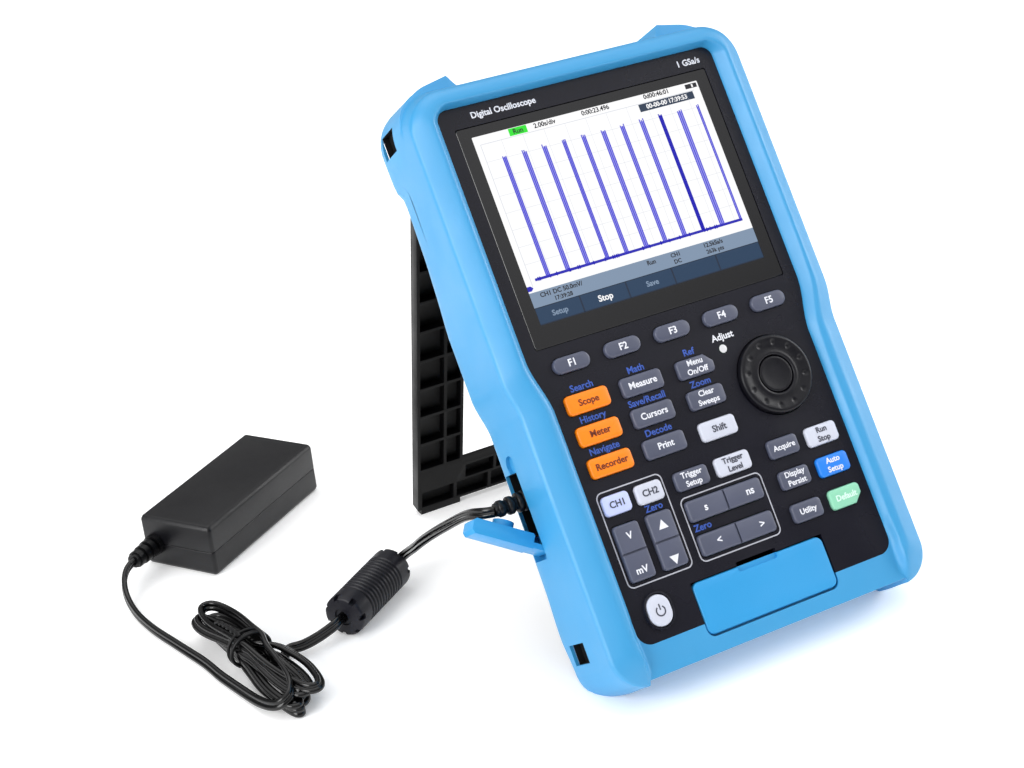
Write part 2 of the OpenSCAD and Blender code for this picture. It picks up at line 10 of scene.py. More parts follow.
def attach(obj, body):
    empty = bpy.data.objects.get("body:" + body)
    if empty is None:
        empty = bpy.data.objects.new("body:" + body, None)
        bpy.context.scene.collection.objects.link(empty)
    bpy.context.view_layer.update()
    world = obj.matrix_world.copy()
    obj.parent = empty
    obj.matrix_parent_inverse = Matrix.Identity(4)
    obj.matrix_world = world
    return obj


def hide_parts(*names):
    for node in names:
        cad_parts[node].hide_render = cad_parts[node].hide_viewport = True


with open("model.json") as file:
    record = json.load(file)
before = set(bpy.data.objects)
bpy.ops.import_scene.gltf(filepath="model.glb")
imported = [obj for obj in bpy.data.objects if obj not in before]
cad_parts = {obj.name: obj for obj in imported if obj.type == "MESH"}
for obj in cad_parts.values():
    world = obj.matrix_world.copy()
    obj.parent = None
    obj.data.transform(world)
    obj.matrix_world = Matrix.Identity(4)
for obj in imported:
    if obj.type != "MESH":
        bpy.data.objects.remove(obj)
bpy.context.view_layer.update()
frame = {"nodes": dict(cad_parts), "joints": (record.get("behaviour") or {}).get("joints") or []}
MM = 0.001
rng = np.random.default_rng(7)

# ---------------------------------------------------------------- the leaning case's own frame
# Case millimetres: +X right, +Y up the face, +Z out of the face, zero on the panel at its foot.
JOINTS = {j["name"]: j for j in frame["joints"]}
DIAL_AT = (40.2, 102.8)


def case_frame():
    """Finds the case's frame from the dial's axis and centre."""
    dial = JOINTS["dial_turn"]
    out = Vector(dial["axis"]).normalized()
    right = Vector((1, 0, 0))
    up = out.cross(right).normalized()
    foot = Vector(dial["pos_m"]) - right * DIAL_AT[0] * MM - up * DIAL_AT[1] * MM
    return Matrix((right, up, out)).transposed().to_4x4(), foot


TURN, FOOT = case_frame()
CASE = Matrix.Translation(FOOT) @ TURN @ Matrix.Scale(MM, 4)
BENCH = Matrix.Translation((FOOT.x, FOOT.y, 0)) @ Matrix.Scale(MM, 4)

# ---------------------------------------------------------------- camera
CAMERA_AT = (-386.9, -557.8, 461.9)  # mm from the case's foot line, over the bench
CAMERA_AZIMUTH, CAMERA_ELEVATION, CAMERA_ROLL = 26.0, 25.3, 5.85
LENS = 66.27


def make_camera():
    az, el, roll = (math.radians(a) for a in (CAMERA_AZIMUTH, CAMERA_ELEVATION, CAMERA_ROLL))
    back = Vector((-math.sin(az) * math.cos(el), -math.cos(az) * math.cos(el), math.sin(el)))
    level = Vector((math.cos(az), -math.sin(az), 0))
    right = Matrix.Rotation(roll, 3, -back) @ level
    up = back.cross(right)
    data = bpy.data.cameras.new("camera")
    data.lens, data.sensor_width, data.clip_start = LENS, 36, 0.05
    camera = bpy.data.objects.new("camera", data)
    bpy.context.scene.collection.objects.link(camera)
    turn = Matrix((right, up, back)).transposed().to_4x4()
    camera.matrix_world = Matrix.Translation(BENCH @ Vector(CAMERA_AT)) @ turn
    bpy.context.scene.camera = camera


make_camera()
bpy.context.scene.view_settings.view_transform = "Standard"


# ---------------------------------------------------------------- materials
def srgb(r, g, b):
    """A colour given as it looks on a screen, 0 to 255."""
    def lin(v):
        v /= 255
        return v / 12.92 if v < 0.04045 else ((v + 0.055) / 1.055) ** 2.4
    return (lin(r), lin(g), lin(b), 1.0)


def scaled(colour, k):
    return tuple(min(1, c * k) for c in colour[:3]) + (1.0,)


class Shader:
    """A new material's nodes, with the few kinds of node that the looks are built from."""

    def __init__(self, name):
        self.material = bpy.data.materials.new(name)
        self.material.use_nodes = True
        self.tree = self.material.node_tree
        self.link = self.tree.links.new
        self.inputs = self.tree.nodes["Principled BSDF"].inputs
        self.place = self.tree.nodes.new("ShaderNodeTexCoord").outputs["Object"]

    def noise(self, scale, detail):
        n = self.tree.nodes.new("ShaderNodeTexNoise")
        n.inputs["Scale"].default_value = scale
        n.inputs["Detail"].default_value = detail
        self.link(self.place, n.inputs["Vector"])
        return n.outputs["Fac"]

    def ramp(self, value, low, high, start=0.3, end=0.7):
        r = self.tree.nodes.new("ShaderNodeMapRange")
        r.inputs["From Min"].default_value, r.inputs["From Max"].default_value = start, end
        r.inputs["To Min"].default_value, r.inputs["To Max"].default_value = low, high
        self.link(value, r.inputs["Value"])
        return r.outputs["Result"]

    def blend(self, factor, a, b):
        x = self.tree.nodes.new("ShaderNodeMix")
        x.data_type = "RGBA"
        self.link(factor, x.inputs["Factor"])
        for target, c in zip([i for i in x.inputs if i.type == "RGBA"], (a, b)):
            if isinstance(c, tuple):
                target.default_value = c
            else:
                self.link(c, target)
        return [o for o in x.outputs if o.type == "RGBA"][0]


def surface(name, colour, rough=0.5, vary=0.06, grain=0.0, grain_size=0.35, blotch=14, metal=0.0,
            specular=0.5, edge=0.0):
    """Moulded plastic, rubber or metal: slow colour drift, uneven gloss, fine texture, and a painted
    highlight that lightens sharp edges.
    blotch and grain_size are in millimetres."""
    sh = Shader(name)
    drift = sh.ramp(sh.noise(1000 / blotch, 3), 0, 1)
    base = sh.blend(drift, scaled(colour, 1 - vary), scaled(colour, 1 + vary))
    if edge:
        # Painted highlight: convex edges are lightened towards 1.5 times the colour, standing in for glints
        # on the edges.
        edge_highlight = sh.tree.nodes.new("ShaderNodeNewGeometry").outputs["Pointiness"]
        base = sh.blend(sh.ramp(edge_highlight, 0, edge, 0.51, 0.6), base, scaled(colour, 1.5))
    sh.link(base, sh.inputs["Base Color"])
    gloss = sh.ramp(sh.noise(1000 / (blotch * 0.6), 4), rough - 0.06, rough + 0.06)
    sh.link(gloss, sh.inputs["Roughness"])
    sh.inputs["Metallic"].default_value = metal
    sh.inputs["Specular IOR Level"].default_value = specular
    if grain:
        bump = sh.tree.nodes.new("ShaderNodeBump")
        bump.inputs["Strength"].default_value = grain
        bump.inputs["Distance"].default_value = 0.0002
        sh.link(sh.noise(1000 / grain_size, 2), bump.inputs["Height"])
        sh.link(bump.outputs["Normal"], sh.inputs["Normal"])
    return sh.material


def glowing(name, colour, strength=1.0, gloss=0.12):
    """A lit part of the display behind clear glass."""
    sh = Shader(name)
    lit = sh.blend(sh.noise(60, 2), scaled(colour, 0.98), scaled(colour, 1.02))
    sh.link(lit, sh.inputs["Emission Color"])
    sh.inputs["Base Color"].default_value = (0.012, 0.012, 0.014, 1)
    sh.inputs["Emission Strength"].default_value = strength
    sh.inputs["Roughness"].default_value = gloss
    sh.inputs["Specular IOR Level"].default_value = 0.3
    return sh.material


# Key: material's name, colour, then roughness, colour drift, grain, grain size and blotch size. An edge entry
# sets how far sharp edges are lightened as a painted highlight.
M = {key: surface(name, srgb(*rgb), *numbers, **more) for key, name, rgb, numbers, more in (
    ("bumper", "bumper_rubber", (50, 146, 200), (0.44, 0.02, 0.2, 0.5, 40),
     {"edge": 0.1, "specular": 0.7}),
    ("door", "door_rubber", (44, 148, 208), (0.42, 0.02, 0.2, 0.5, 30), {"edge": 0.1}),
    ("panel", "panel_plastic", (19, 19, 29), (0.27, 0.06, 0.25, 0.4, 60), {"specular": 0.36}),
    ("bezel", "bezel_print", (8, 8, 12), (0.14, 0.04, 0, 0.4, 60), {"specular": 0.6}),
    ("grey", "key_grey", (76, 80, 98), (0.4, 0.04, 0.15, 0.3, 20), {"edge": 0.3}),
    ("orange", "key_orange", (252, 130, 4), (0.4, 0.03, 0.1, 0.3, 20), {"edge": 0.1}),
    ("white", "key_white", (198, 202, 216), (0.4, 0.02, 0.1, 0.3, 20), {}),
    ("lit", "key_channel_lit", (186, 196, 238), (0.4, 0.02, 0.1, 0.3, 20), {}),
    ("blue", "key_blue", (30, 124, 226), (0.38, 0.03, 0.1, 0.3, 20), {"edge": 0.2}),
    ("mint", "key_mint", (136, 204, 172), (0.4, 0.03, 0.1, 0.3, 20), {"edge": 0.2}),
    ("dial", "dial_plastic", (13, 13, 19), (0.36, 0.08, 0.25, 0.3, 12), {"edge": 0.5, "specular": 0.28}),
    ("case", "case_plastic", (18, 18, 21), (0.42, 0.08, 0.4, 0.6, 30), {"edge": 0.4}),
    ("stand", "stand_plastic", (3, 3, 4), (0.42, 0.1, 0.25, 0.5, 25), {"edge": 1.5, "specular": 0.16}),
    ("port", "port_plastic", (4, 4, 5), (0.5, 0.08, 0.2, 0.4, 10), {}),
    ("adapter", "adapter_plastic", (10, 10, 14), (0.34, 0.06, 0.5, 0.5, 30),
     {"edge": 0.6, "specular": 0.36}),
    ("cord", "cord_vinyl", (4, 4, 5), (0.22, 0.1, 0.05, 0.8, 9), {"specular": 0.45}),
    ("relief", "relief_vinyl", (7, 7, 9), (0.38, 0.1, 0.15, 0.5, 8), {"edge": 0.4, "specular": 0.3}),
    ("ferrite", "ferrite_vinyl", (22, 22, 29), (0.42, 0.1, 0.25, 0.5, 10), {"edge": 0.5, "specular": 0.28}),
    ("board", "solder_mask", (14, 78, 46), (0.35, 0.12, 0.2, 0.4, 8), {}),
    ("battery", "battery_wrap", (38, 70, 118), (0.3, 0.08, 0.1, 1, 20), {}),
    ("steel", "zinc_steel", (180, 182, 186), (0.3, 0.08, 0.1, 0.3, 5), {"metal": 1}),
    ("nickel", "nickel_plate", (204, 205, 208), (0.18, 0.05, 0.05, 0.3, 5), {"metal": 1}),
)}
for ink, rgb, drift in (("white", (222, 224, 232), 0.02), ("grey", (176, 178, 188), 0.02),
                        ("blue", (48, 84, 174), 0.03), ("dark", (62, 64, 78), 0.03),
                        ("brown", (104, 38, 6), 0.03), ("green", (214, 244, 230), 0.03)):
    M["print_" + ink] = surface("print_" + ink, srgb(*rgb), 0.5, drift)
M["lamp"] = glowing("indicator_lamp", srgb(244, 244, 248), 0.9, 0.35)
for tint, rgb in (("white", (253, 253, 254)), ("grid", (216, 219, 226)), ("ink", (26, 26, 30)),
                  ("trace", (66, 62, 206)), ("trace_light", (150, 150, 238)),
                  ("trace_dark", (16, 8, 176)), ("green", (38, 230, 38)), ("strip", (126, 146, 170)),
                  ("navy", (24, 56, 86)), ("navy_edge", (16, 34, 56)), ("slate", (30, 50, 74))):
    M["s_" + tint] = glowing("screen_" + tint, srgb(*rgb))


# ---------------------------------------------------------------- mesh helpers
def piece(name, verts, faces, material, body="case", place=CASE, sharp=35, replaces=(), slot=None):
    """Makes a mesh from points in millimetres, and lets it ride on a body."""
    mesh = bpy.data.meshes.new(name)
    mesh.from_pydata([place @ Vector(v) for v in verts], [], faces)
    mesh.materials.append(M[material])
    obj = bpy.data.objects.new(name, mesh)
    bpy.context.scene.collection.objects.link(obj)
    finish_mesh(obj, sharp)
    if body:
        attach(obj, body)
    if replaces:
        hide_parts(*replaces)
    return obj


def finish_mesh(obj, sharp=35):
    """Turns normals outwards and shades smooth except over sharp edges."""
    bm = bmesh.new()
    bm.from_mesh(obj.data)
    bmesh.ops.recalc_face_normals(bm, faces=bm.faces)
    bm.to_mesh(obj.data)
    bm.free()
    obj.data.polygons.foreach_set("use_smooth", [True] * len(obj.data.polygons))
    obj.data.set_sharp_from_angle(angle=math.radians(sharp))


def apply_modifiers(obj):
    mesh = bpy.data.meshes.new_from_object(obj.evaluated_get(bpy.context.evaluated_depsgraph_get()))
    obj.modifiers.clear()
    obj.data = mesh


def arc(cx, cy, r, a0, a1, n):
    return [(cx + r * math.cos(math.radians(a0 + (a1 - a0) * i / n)),
             cy + r * math.sin(math.radians(a0 + (a1 - a0) * i / n))) for i in range(n + 1)]


def rounded(w, h, r, n=8):
    """Outline of a rounded rectangle round the origin."""
    points = []
    for q in range(4):
        sx, sy = (1, -1, -1, 1)[q], (1, 1, -1, -1)[q]
        points += arc(sx * (w / 2 - r), sy * (h / 2 - r), r, 90 * q, 90 * q + 90, n)
    return points


def clipped(w, h, r, corner, n=8):
    """A rounded rectangle whose right corner at the top (1) or foot (2) is cut off."""
    points = rounded(w, h, r, n)
    if not corner:
        return points
    cut, s = h * 0.45, 1 if corner == 1 else -1
    ends = [(w / 2, s * (h / 2 - cut)), (w / 2 - cut, s * h / 2)]
    if corner == 1:
        return ends + points[n + 1:]
    return points[:3 * n + 3] + ends[::-1]


def inset(points, d):
    """Moves an outline inwards by d."""
    p = np.array(points, float)
    step = np.roll(p, -1, 0) - np.roll(p, 1, 0)
    step /= np.maximum(np.linalg.norm(step, axis=1), 1e-9)[:, None]
    return p + d * np.stack([-step[:, 1], step[:, 0]], 1)


def band(rings, n, wrap=False):
    """Faces between rings of n points. With wrap, the last ring also joins the first."""
    return [(k * n + i, k * n + (i + 1) % n, (k + 1) % rings * n + (i + 1) % n, (k + 1) % rings * n + i)
            for k in range(rings if wrap else rings - 1) for i in range(n)]


def cap(outline, levels, at=(0, 0), dome=0.0):
    """A solid from an outline inset and lifted through levels, closed by a domed top."""
    p = np.array(outline, float)
    verts, n = [], len(p)
    for d, z in levels:
        ring = inset(p, d) if d else p
        verts += [(x, y, z) for x, y in ring]
    ring, z = inset(p, levels[-1][0]), levels[-1][1]
    for share in (0.66, 0.33):
        verts += [(x * share, y * share, z + dome * (1 - share ** 2)) for x, y in ring]
    verts.append((0, 0, z + dome))
    faces = band(len(levels) + 2, n)
    top = (len(levels) + 1) * n
    faces += [(top + i, top + (i + 1) % n, len(verts) - 1) for i in range(n)]
    faces.append(tuple(range(n))[::-1])
    return [(at[0] + x, at[1] + y, z) for x, y, z in verts], faces


def lathe(profile, n=72, turn=None):
    """Turns (radius, height) points round Z. The profile may start and end on the axis."""
    verts, faces = [], []
    m = len(profile)
    for i in range(n):
        a = 2 * math.pi * i / n
        verts += [(r * math.cos(a), r * math.sin(a), z) for r, z in profile]
    for i in range(n):
        for k in range(m - 1):
            a, b = i * m + k, ((i + 1) % n) * m + k
            faces.append((a, b, b + 1, a + 1))
    if turn:
        verts = [tuple(turn @ Vector(v)) for v in verts]
    return verts, faces


def joined(parts):
    """Puts several (verts, faces) lists into one."""
    verts, faces = [], []
    for v, f in parts:
        faces += [tuple(i + len(verts) for i in face) for face in f]
        verts += list(v)
    return verts, faces


def block(x0, x1, y0, y1, z0, z1):
    x0, x1 = sorted((x0, x1))
    verts = [(x, y, z) for z in (z0, z1) for y in (y0, y1) for x in (x0, x1)]
    faces = [(0, 2, 3, 1), (4, 5, 7, 6), (0, 1, 5, 4), (2, 6, 7, 3), (0, 4, 6, 2), (1, 3, 7, 5)]
    return verts, faces


def soften(node, material, body, width, name, segments):
    """A copy of a CAD node with its sharp edges rounded, standing for the node."""
    source = frame["nodes"][node]
    obj = source.copy()
    obj.data = source.data.copy()
    obj.parent = None
    obj.matrix_world = Matrix.Identity(4)
    obj.name = name
    bpy.context.scene.collection.objects.link(obj)
    bm = bmesh.new()
    bm.from_mesh(obj.data)
    bmesh.ops.remove_doubles(bm, verts=bm.verts, dist=2e-6)
    bmesh.ops.dissolve_limit(bm, angle_limit=math.radians(1.5), verts=bm.verts, edges=bm.edges)
    bm.to_mesh(obj.data)
    bm.free()
    bevel = obj.modifiers.new("round", "BEVEL")
    bevel.width, bevel.segments = width * MM, segments
    bevel.limit_method, bevel.angle_limit = "ANGLE", math.radians(30)
    apply_modifiers(obj)
    obj.data.materials.clear()
    obj.data.materials.append(M[material])
    finish_mesh(obj, 40)
    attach(obj, body)
    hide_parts(node)
    return obj


def cut(obj, solids, sharp, place=CASE):
    """Takes solids away from a mesh."""
    for verts, faces in solids:
        tool = piece("tool", verts, faces, "port", body=None, place=place)
        m = obj.modifiers.new("cut", "BOOLEAN")
        m.operation, m.object, m.solver = "DIFFERENCE", tool, "EXACT"
        bpy.context.view_layer.update()
        apply_modifiers(obj)
        bpy.data.objects.remove(tool)
    finish_mesh(obj, sharp)


# ---------------------------------------------------------------- cord
LEAD_W, LEAD_T = 5.0, 2.7
FERRITE_R = 10
# Route over the bench in millimetres from the case's foot line: plug to ferrite, ferrite to hank,
# hank to adapter
LEAD_IN = [(-93, 73.9, 74.2), (-96.5, 76, 73.6), (-99, 82, 71.5), (-100, 91, 66.5), (-101, 106, 56),
           (-101, 125, 42.5), (-101, 139, 32), (-100.4, 150, 23.4), (-100.3, 158.5, 17),
           (-101.4, 163.5, 12.6), (-104.2, 164.4, 10.3), (-107.6, 162.2, 10)]
LEAD_MID = [(-145.3, 135.2, 10), (-152, 132.2, 9), (-160, 131.5, 6.8), (-168, 133, 4.4),
            (-174.5, 135, 3.4)]
LEAD_OUT = [(-205.4, 134.5, 2.5), (-206.5, 142, 2.5), (-208, 151, 2.5), (-211, 163, 2.5),
            (-214, 175, 2.5), (-217.5, 189, 2.5), (-219.8, 204, 2.5), (-220.2, 216, 2.9),
            (-219.6, 226, 5), (-217.5, 233, 9), (-214, 237, 12), (-209.8, 239.9, 12.5)]
HANK_AT, HANK_TURN = (-189, 132), -82
HANK_TURNS = 6
TIE_X = -6  # the tie's place along the hank
FAN = (-5, 1, -7, 4, -2, 7, -3)


def on_hank(x, y, z):
    """Takes a point from the hank's own millimetres to the bench."""
    c, s = math.cos(math.radians(HANK_TURN)), math.sin(math.radians(HANK_TURN))
    return (HANK_AT[0] + c * x - s * y, HANK_AT[1] + s * x + c * y, z)


def hank_route():
    """A flattened oval coil, pinched in its middle by the tie, in the hank's own millimetres."""
    points = []
    steps = 40
    total = HANK_TURNS * steps + steps // 2
    for i in range(3, total - 2):
        turn = i / steps
        a = 2 * math.pi * turn - math.pi / 2
        loop = min(HANK_TURNS, int(turn))
        length = 46.5 - 1.5 * ((loop * 3) % 5)
        along = math.sin(a + math.pi / 2)
        x = length * along - 2
        flat = math.copysign(abs(math.cos(a + math.pi / 2)) ** 0.7, math.cos(a + math.pi / 2))
        pinch = min(1, abs(x - TIE_X) / 34)
        spread = pinch * pinch * (3 - 2 * pinch)
        fan = FAN[loop] + (FAN[(loop + 1) % len(FAN)] - FAN[loop]) * (turn - loop)
        width = 4.4 + (0.9 + 0.8 * ((loop * 2) % 3)) * spread
        rise = 2.2 + 2.2 * turn * (1 - 0.22 * spread)
        y = width * flat + (0.3 + 0.8 * spread) * fan * (1 if along > 0 else -1)
        leave = max(0, min(1, (turn - HANK_TURNS - 0.1) / 0.36))
        leave *= leave * (3 - 2 * leave)
        points.append(on_hank(x, y - (y + 14.5) * leave, rise - (rise - 2.6) * leave))
    return points


def relax(points, passes):
    for _ in range(passes):
        points[1:-1] = 0.25 * points[:-2] + 0.5 * points[1:-1] + 0.25 * points[2:]


def smooth_route(points, spacing=1.2):
    """Catmull-Rom through the points, then even steps. Also gives the length."""
    p = np.array(points, float)
    p = np.vstack([2 * p[0] - p[1], p, 2 * p[-1] - p[-2]])
    fine = []
    for i in range(1, len(p) - 2):
        a, b, c, d = p[i - 1:i + 3]
        for t in np.linspace(0, 1, 12, endpoint=False):
            fine.append(0.5 * (2 * b + (c - a) * t + (2 * a - 5 * b + 4 * c - d) * t * t
                               + (3 * b - a - 3 * c + d) * t ** 3))
    fine = np.array(fine + [p[-2]])
    relax(fine, 3)
    run = np.concatenate([[0], np.cumsum(np.linalg.norm(np.diff(fine, axis=0), axis=1))])
    at = np.linspace(0, run[-1], int(run[-1] / spacing) + 1)
    even = np.stack([np.interp(at, run, fine[:, k]) for k in range(3)], 1)
    relax(even, 8)
    return even, float(np.linalg.norm(np.diff(even, axis=0), axis=1).sum())


def lead_section(n=20):
    """Two round conductors side by side, joined by a thin web."""
    r = LEAD_T / 2
    c = LEAD_W / 2 - r
    out = []
    for i in range(n):
        a = 2 * math.pi * i / n
        x = LEAD_W / 2 * math.cos(a)
        y = 0.0
        if abs(x) < LEAD_W / 2 - 0.02:
            y = math.copysign(math.sqrt(max(0.12, r * r - abs(abs(x) - c) ** 2)), math.sin(a))
        out.append((x, y))
    return out


def sweep(path, section, twist=lambda s: 0):
    """A section carried along a path, kept level where the path allows, and closed at both ends."""
    verts = []
    n = len(section)
    side = None
    for i, p in enumerate(path):
        t = path[min(i + 1, len(path) - 1)] - path[max(i - 1, 0)]
        t = t / np.linalg.norm(t)
        flat = np.cross(t, (0, 0, 1))
        if np.linalg.norm(flat) < 0.3:
            flat = np.array((0.0, 0.0, 1.0)) if side is None else side
            flat = flat - t * np.dot(flat, t)
            if np.linalg.norm(flat) < 0.3:
                flat = np.cross(t, (0, 1, 0))
        flat /= np.linalg.norm(flat)
        if side is not None:
            if np.dot(flat, side) < 0:
                flat = -flat
            flat = side * 0.8 + flat * 0.2
            flat -= t * np.dot(flat, t)
            flat /= np.linalg.norm(flat)
        side = flat
        up = np.cross(side, t)
        a = twist(i / (len(path) - 1))
        u, v = math.cos(a) * side + math.sin(a) * up, -math.sin(a) * side + math.cos(a) * up
        verts += [tuple(p + x * u + y * v) for x, y in section]
    faces = band(len(path), n)
    faces.append(tuple(range(n))[::-1])
    faces.append(tuple((len(path) - 1) * n + j for j in range(n)))
    return verts, faces


def make_cord():
    path, length = smooth_route(LEAD_IN + LEAD_MID + hank_route() + LEAD_OUT)
    verts, faces = sweep(path, lead_section(),
                         lambda s: 0.7 + 0.4 * math.sin(40 * s) + 0.8 * math.sin(9 * s))
    cord = piece("power_lead", verts, faces, "cord", place=BENCH, sharp=60,
                 replaces=("cord_from_plug", "cord_from_ferrite", "cord_hank", "cord_to_adapter"))
    return cord, [tuple(BENCH @ Vector(p)) for p in path], length


cord, cord_path, cord_length = make_cord()


def on_ferrite(h, r=0, a=0):
    """A point along the ferrite, from the end nearest the plug."""
    start, end = Vector(LEAD_IN[-1]), Vector(LEAD_MID[0])
    way = (end - start).normalized()
    side = way.cross(Vector((0, 0, 1))).normalized()
    up = side.cross(way)
    return start + way * h + side * r * math.cos(a) + up * r * math.sin(a)


def make_ferrite():
    length = (Vector(LEAD_MID[0]) - Vector(LEAD_IN[-1])).length
    r = FERRITE_R
    profile = [(1.6, 0.9), (4.2, 0.9), (4.4, 0.2), (8.6, 0.2), (9.4, 0.5), (9.85, 1.1), (r, 2.2)]
    ribs, pitch, first = 12, 2.4, 9
    for i in range(ribs):
        z = first + pitch * i
        profile += [(r, z), (r - 0.15, z + 0.15), (r - 0.7, z + 0.45), (r - 0.75, z + 0.75),
                    (r - 0.7, z + 1.05), (r - 0.15, z + 1.35), (r, z + 1.5)]
    profile += [(r, length - 2.2), (9.85, length - 1.1), (9.4, length - 0.5), (8.6, length - 0.2),
                (4.4, length - 0.2), (4.2, length - 0.9), (1.6, length - 0.9)]
    verts, faces = [], []
    n = 64
    for i in range(n):
        verts += [tuple(on_ferrite(h, q, 2 * math.pi * i / n)) for q, h in profile]
    m = len(profile)
    for i in range(n):
        faces += [(i * m + k, ((i + 1) % n) * m + k, ((i + 1) % n) * m + k + 1, i * m + k + 1)
                  for k in range(m - 1)]
        faces.append((i * m + m - 1, ((i + 1) % n) * m + m - 1, ((i + 1) % n) * m, i * m))
    body = piece("ferrite_sleeve", verts, faces, "ferrite", place=BENCH, sharp=40, replaces=("ferrite",),
                 slot="ferrite_pvc")
    notches = []
    for h0, h1 in ((-1, 3.4), (length - 3.4, length + 1)):
        for k in range(7):
            a = 0.35 + 2 * math.pi * k / 7
            box = [tuple(on_ferrite(h, q, a + da)) for h in (h0, h1) for q in (8.3, r + 1)
                   for da in (-0.13, 0.13)]
            notches.append((box, [(0, 1, 3, 2), (4, 6, 7, 5), (0, 4, 5, 1), (2, 3, 7, 6), (0, 2, 6, 4),
                                  (1, 5, 7, 3)]))
    cut(body, notches, 40, BENCH)
    return body


def make_tie():
    """A bare twist tie, wrapped round the bundle, with its ends twisted and standing up."""
    def wire(points, r):
        circle = [(r * math.cos(q), r * math.sin(q)) for q in np.linspace(0, 2 * math.pi, 9)[:-1]]
        return sweep(np.array([on_hank(*p) for p in points]), circle)

    parts = []
    for k, shift in enumerate((0, 1.6, -1.4)):
        turns = [2 * math.pi * i / 48 for i in range(49)]
        parts.append(wire([(TIE_X + shift + 1.3 * math.sin(a + k), 9.2 * math.cos(a),
                            9.4 + 8.6 * math.sin(a)) for a in turns], 0.8))
    for sign in (1, -1):
        steps = [i / 24 for i in range(25)]
        parts.append(wire([(TIE_X - 15 * t + sign * 0.7 * math.cos(18 * t),
                            -4 - 3 * t + sign * 0.7 * math.sin(18 * t),
                            18 + 2.0 * math.sin(2.2 * t)) for t in steps], 0.7))
    return piece("hank_tie", *joined(parts), "relief", place=BENCH, sharp=60, replaces=("cord_tie",),
                 slot="cord_pvc")


ferrite = make_ferrite()
tie = make_tie()
lid = soften("adapter_top", "adapter", "case", 0.55, "adapter_lid", 3)
tub = soften("adapter_base", "adapter", "case", 0.55, "adapter_tub", 3)

# ---------------------------------------------------------------- rubber bumper
CASE_W, WAIST_W, CASE_H, LIFT = 165.4, 160.0, 262.5, 18.4
LEAN = math.radians(56)


def smooth(t):
    t = max(0.0, min(1.0, t))
    return t * t * (3 - 2 * t)


def half_line(low, high, y0, y1, r0, r1, s0, s1, foot, drop, first):
    """Right half of an outline, from the middle of the foot to the middle of the top."""
    corner, waist, side = 28, 30, 26
    points = [(x, y0) for x in foot]
    points += arc(low - r0, y0 + r0 - drop, r0, first, 0, corner)
    foot_top = y0 + r0 - drop
    points += [(low, foot_top + (s0 - foot_top) * i / side) for i in range(1, side)]
    points += [(low + (high - low) * smooth(i / waist), s0 + (s1 - s0) * i / waist)
               for i in range(waist + 1)]
    points += [(high, s1 + (y1 - r1 - s1) * i / side) for i in range(1, side)]
    points += arc(high - r1, y1 - r1, r1, 0, 90, corner)
    return points + [(x, y1) for x in TOP_RUN] + [(0.0, y1)]


def whole(half):
    return np.array(half + [(-x, y) for x, y in half[-2:0:-1]])


FOOT_RUN = [0, 8, 16, 24, 32, 40, 48, 54, 58, 61, 63, 64.2, 65.2, 65.9, 66.5]
TOP_RUN = [62, 59, 56.5, 54.6, 53.7, 52.6, 51.4, 50.3, 49.4, 48.6, 44, 38, 30, 22, 14, 7]
OUTER = whole(half_line(WAIST_W / 2, CASE_W / 2, 0, CASE_H, 15, 18, 118, 136, FOOT_RUN, 2, -81.5))
INNER = whole(half_line(WAIST_W / 2 - 15.2, CASE_W / 2 - 13.5, 13.5, 253, 6.5, 5, 116, 141,
                        [x * 0.873 for x in FOOT_RUN], 0, -90))
# Depth of the blue sides behind the panel against height up the face
SIDE_DEPTH = [(0, 42), (12, 43), (24, 46), (31, 46), (46, 44), (71, 43), (121, 42), (146, 42), (166, 42),
              (181, 39), (198, 36.5), (216, 35.5), (227, 35.2), (233, 41.5), (248, 42.5), (256, 42),
              (268, 40)]
# Sections of the rim: share of the way from the outer edge to the panel, and height, from the
# panel outwards. On the sides by the keys, on the sides by the display, and along the top.
RIM_KEYS = [(1, -1.6), (1, 0), (0.985, 0.9), (0.94, 2.1), (0.885, 3.2), (0.845, 3.85), (0.81, 4.15),
            (0.74, 4.35), (0.66, 4.5), (0.6, 4.45), (0.54, 4.2), (0.4, 3.3), (0.25, 2.1), (0.12, 1.0),
            (0.05, 0.35), (0.012, -0.4), (0, -1.4)]
RIM_SCREEN = [(1, -1.6), (1, 0), (0.975, 0.8), (0.9, 2.4), (0.82, 4.0), (0.755, 5.2), (0.725, 5.6),
              (0.69, 5.9), (0.65, 6.0), (0.61, 5.9), (0.55, 5.5), (0.4, 4.2), (0.25, 2.75), (0.12, 1.4),
              (0.05, 0.6), (0.012, -0.3), (0, -1.4)]
RIM_TOP = [(1, -1.6), (1, 0), (0.985, 1.4), (0.94, 3.2), (0.895, 4.8), (0.865, 5.5), (0.84, 5.8),
           (0.8, 6.0), (0.72, 6.1), (0.6, 6.0), (0.5, 5.8), (0.36, 5.2), (0.22, 4.1), (0.11, 2.8),
           (0.05, 1.7), (0.012, 0.4), (0, -0.8)]
# The skirt behind the face: share, and height in millimetres or as a share of the side's depth
SKIRT = [(0, -3, 0), (0, -5, 0), (0, -7, 0), (0, -9.1, 0), (0, -9.6, 0), (0, -12, 0), (0, -16, 0),
         (0, -20, 0), (0, -24, 0), (0, -0.66, 1), (0, -0.75, 1), (0, -0.82, 1), (0.012, -0.88, 1),
         (0.045, -0.93, 1), (0.1, -0.97, 1), (0.18, -0.992, 1), (0.28, -1.0, 1), (0.4, -1.0, 1),
         (0.52, -1.0, 1)]


def horn(x, z):
    """How far the top stands out: a flare behind the rim, then the horns near the corners."""
    x = abs(x)
    tall = 0 if x < 49 else 8.1 * (x - 49) / 4.7 if x < 53.7 else 8.1 - 0.2 * (x - 53.7) if x < 71 else 4.6
    if z > -9.3:
        return min(2.7, tall) * max(0.0, min(1.0, -z / 9))
    return tall + (0.04 * (-z - 9.3) if tall > 2 else 0)


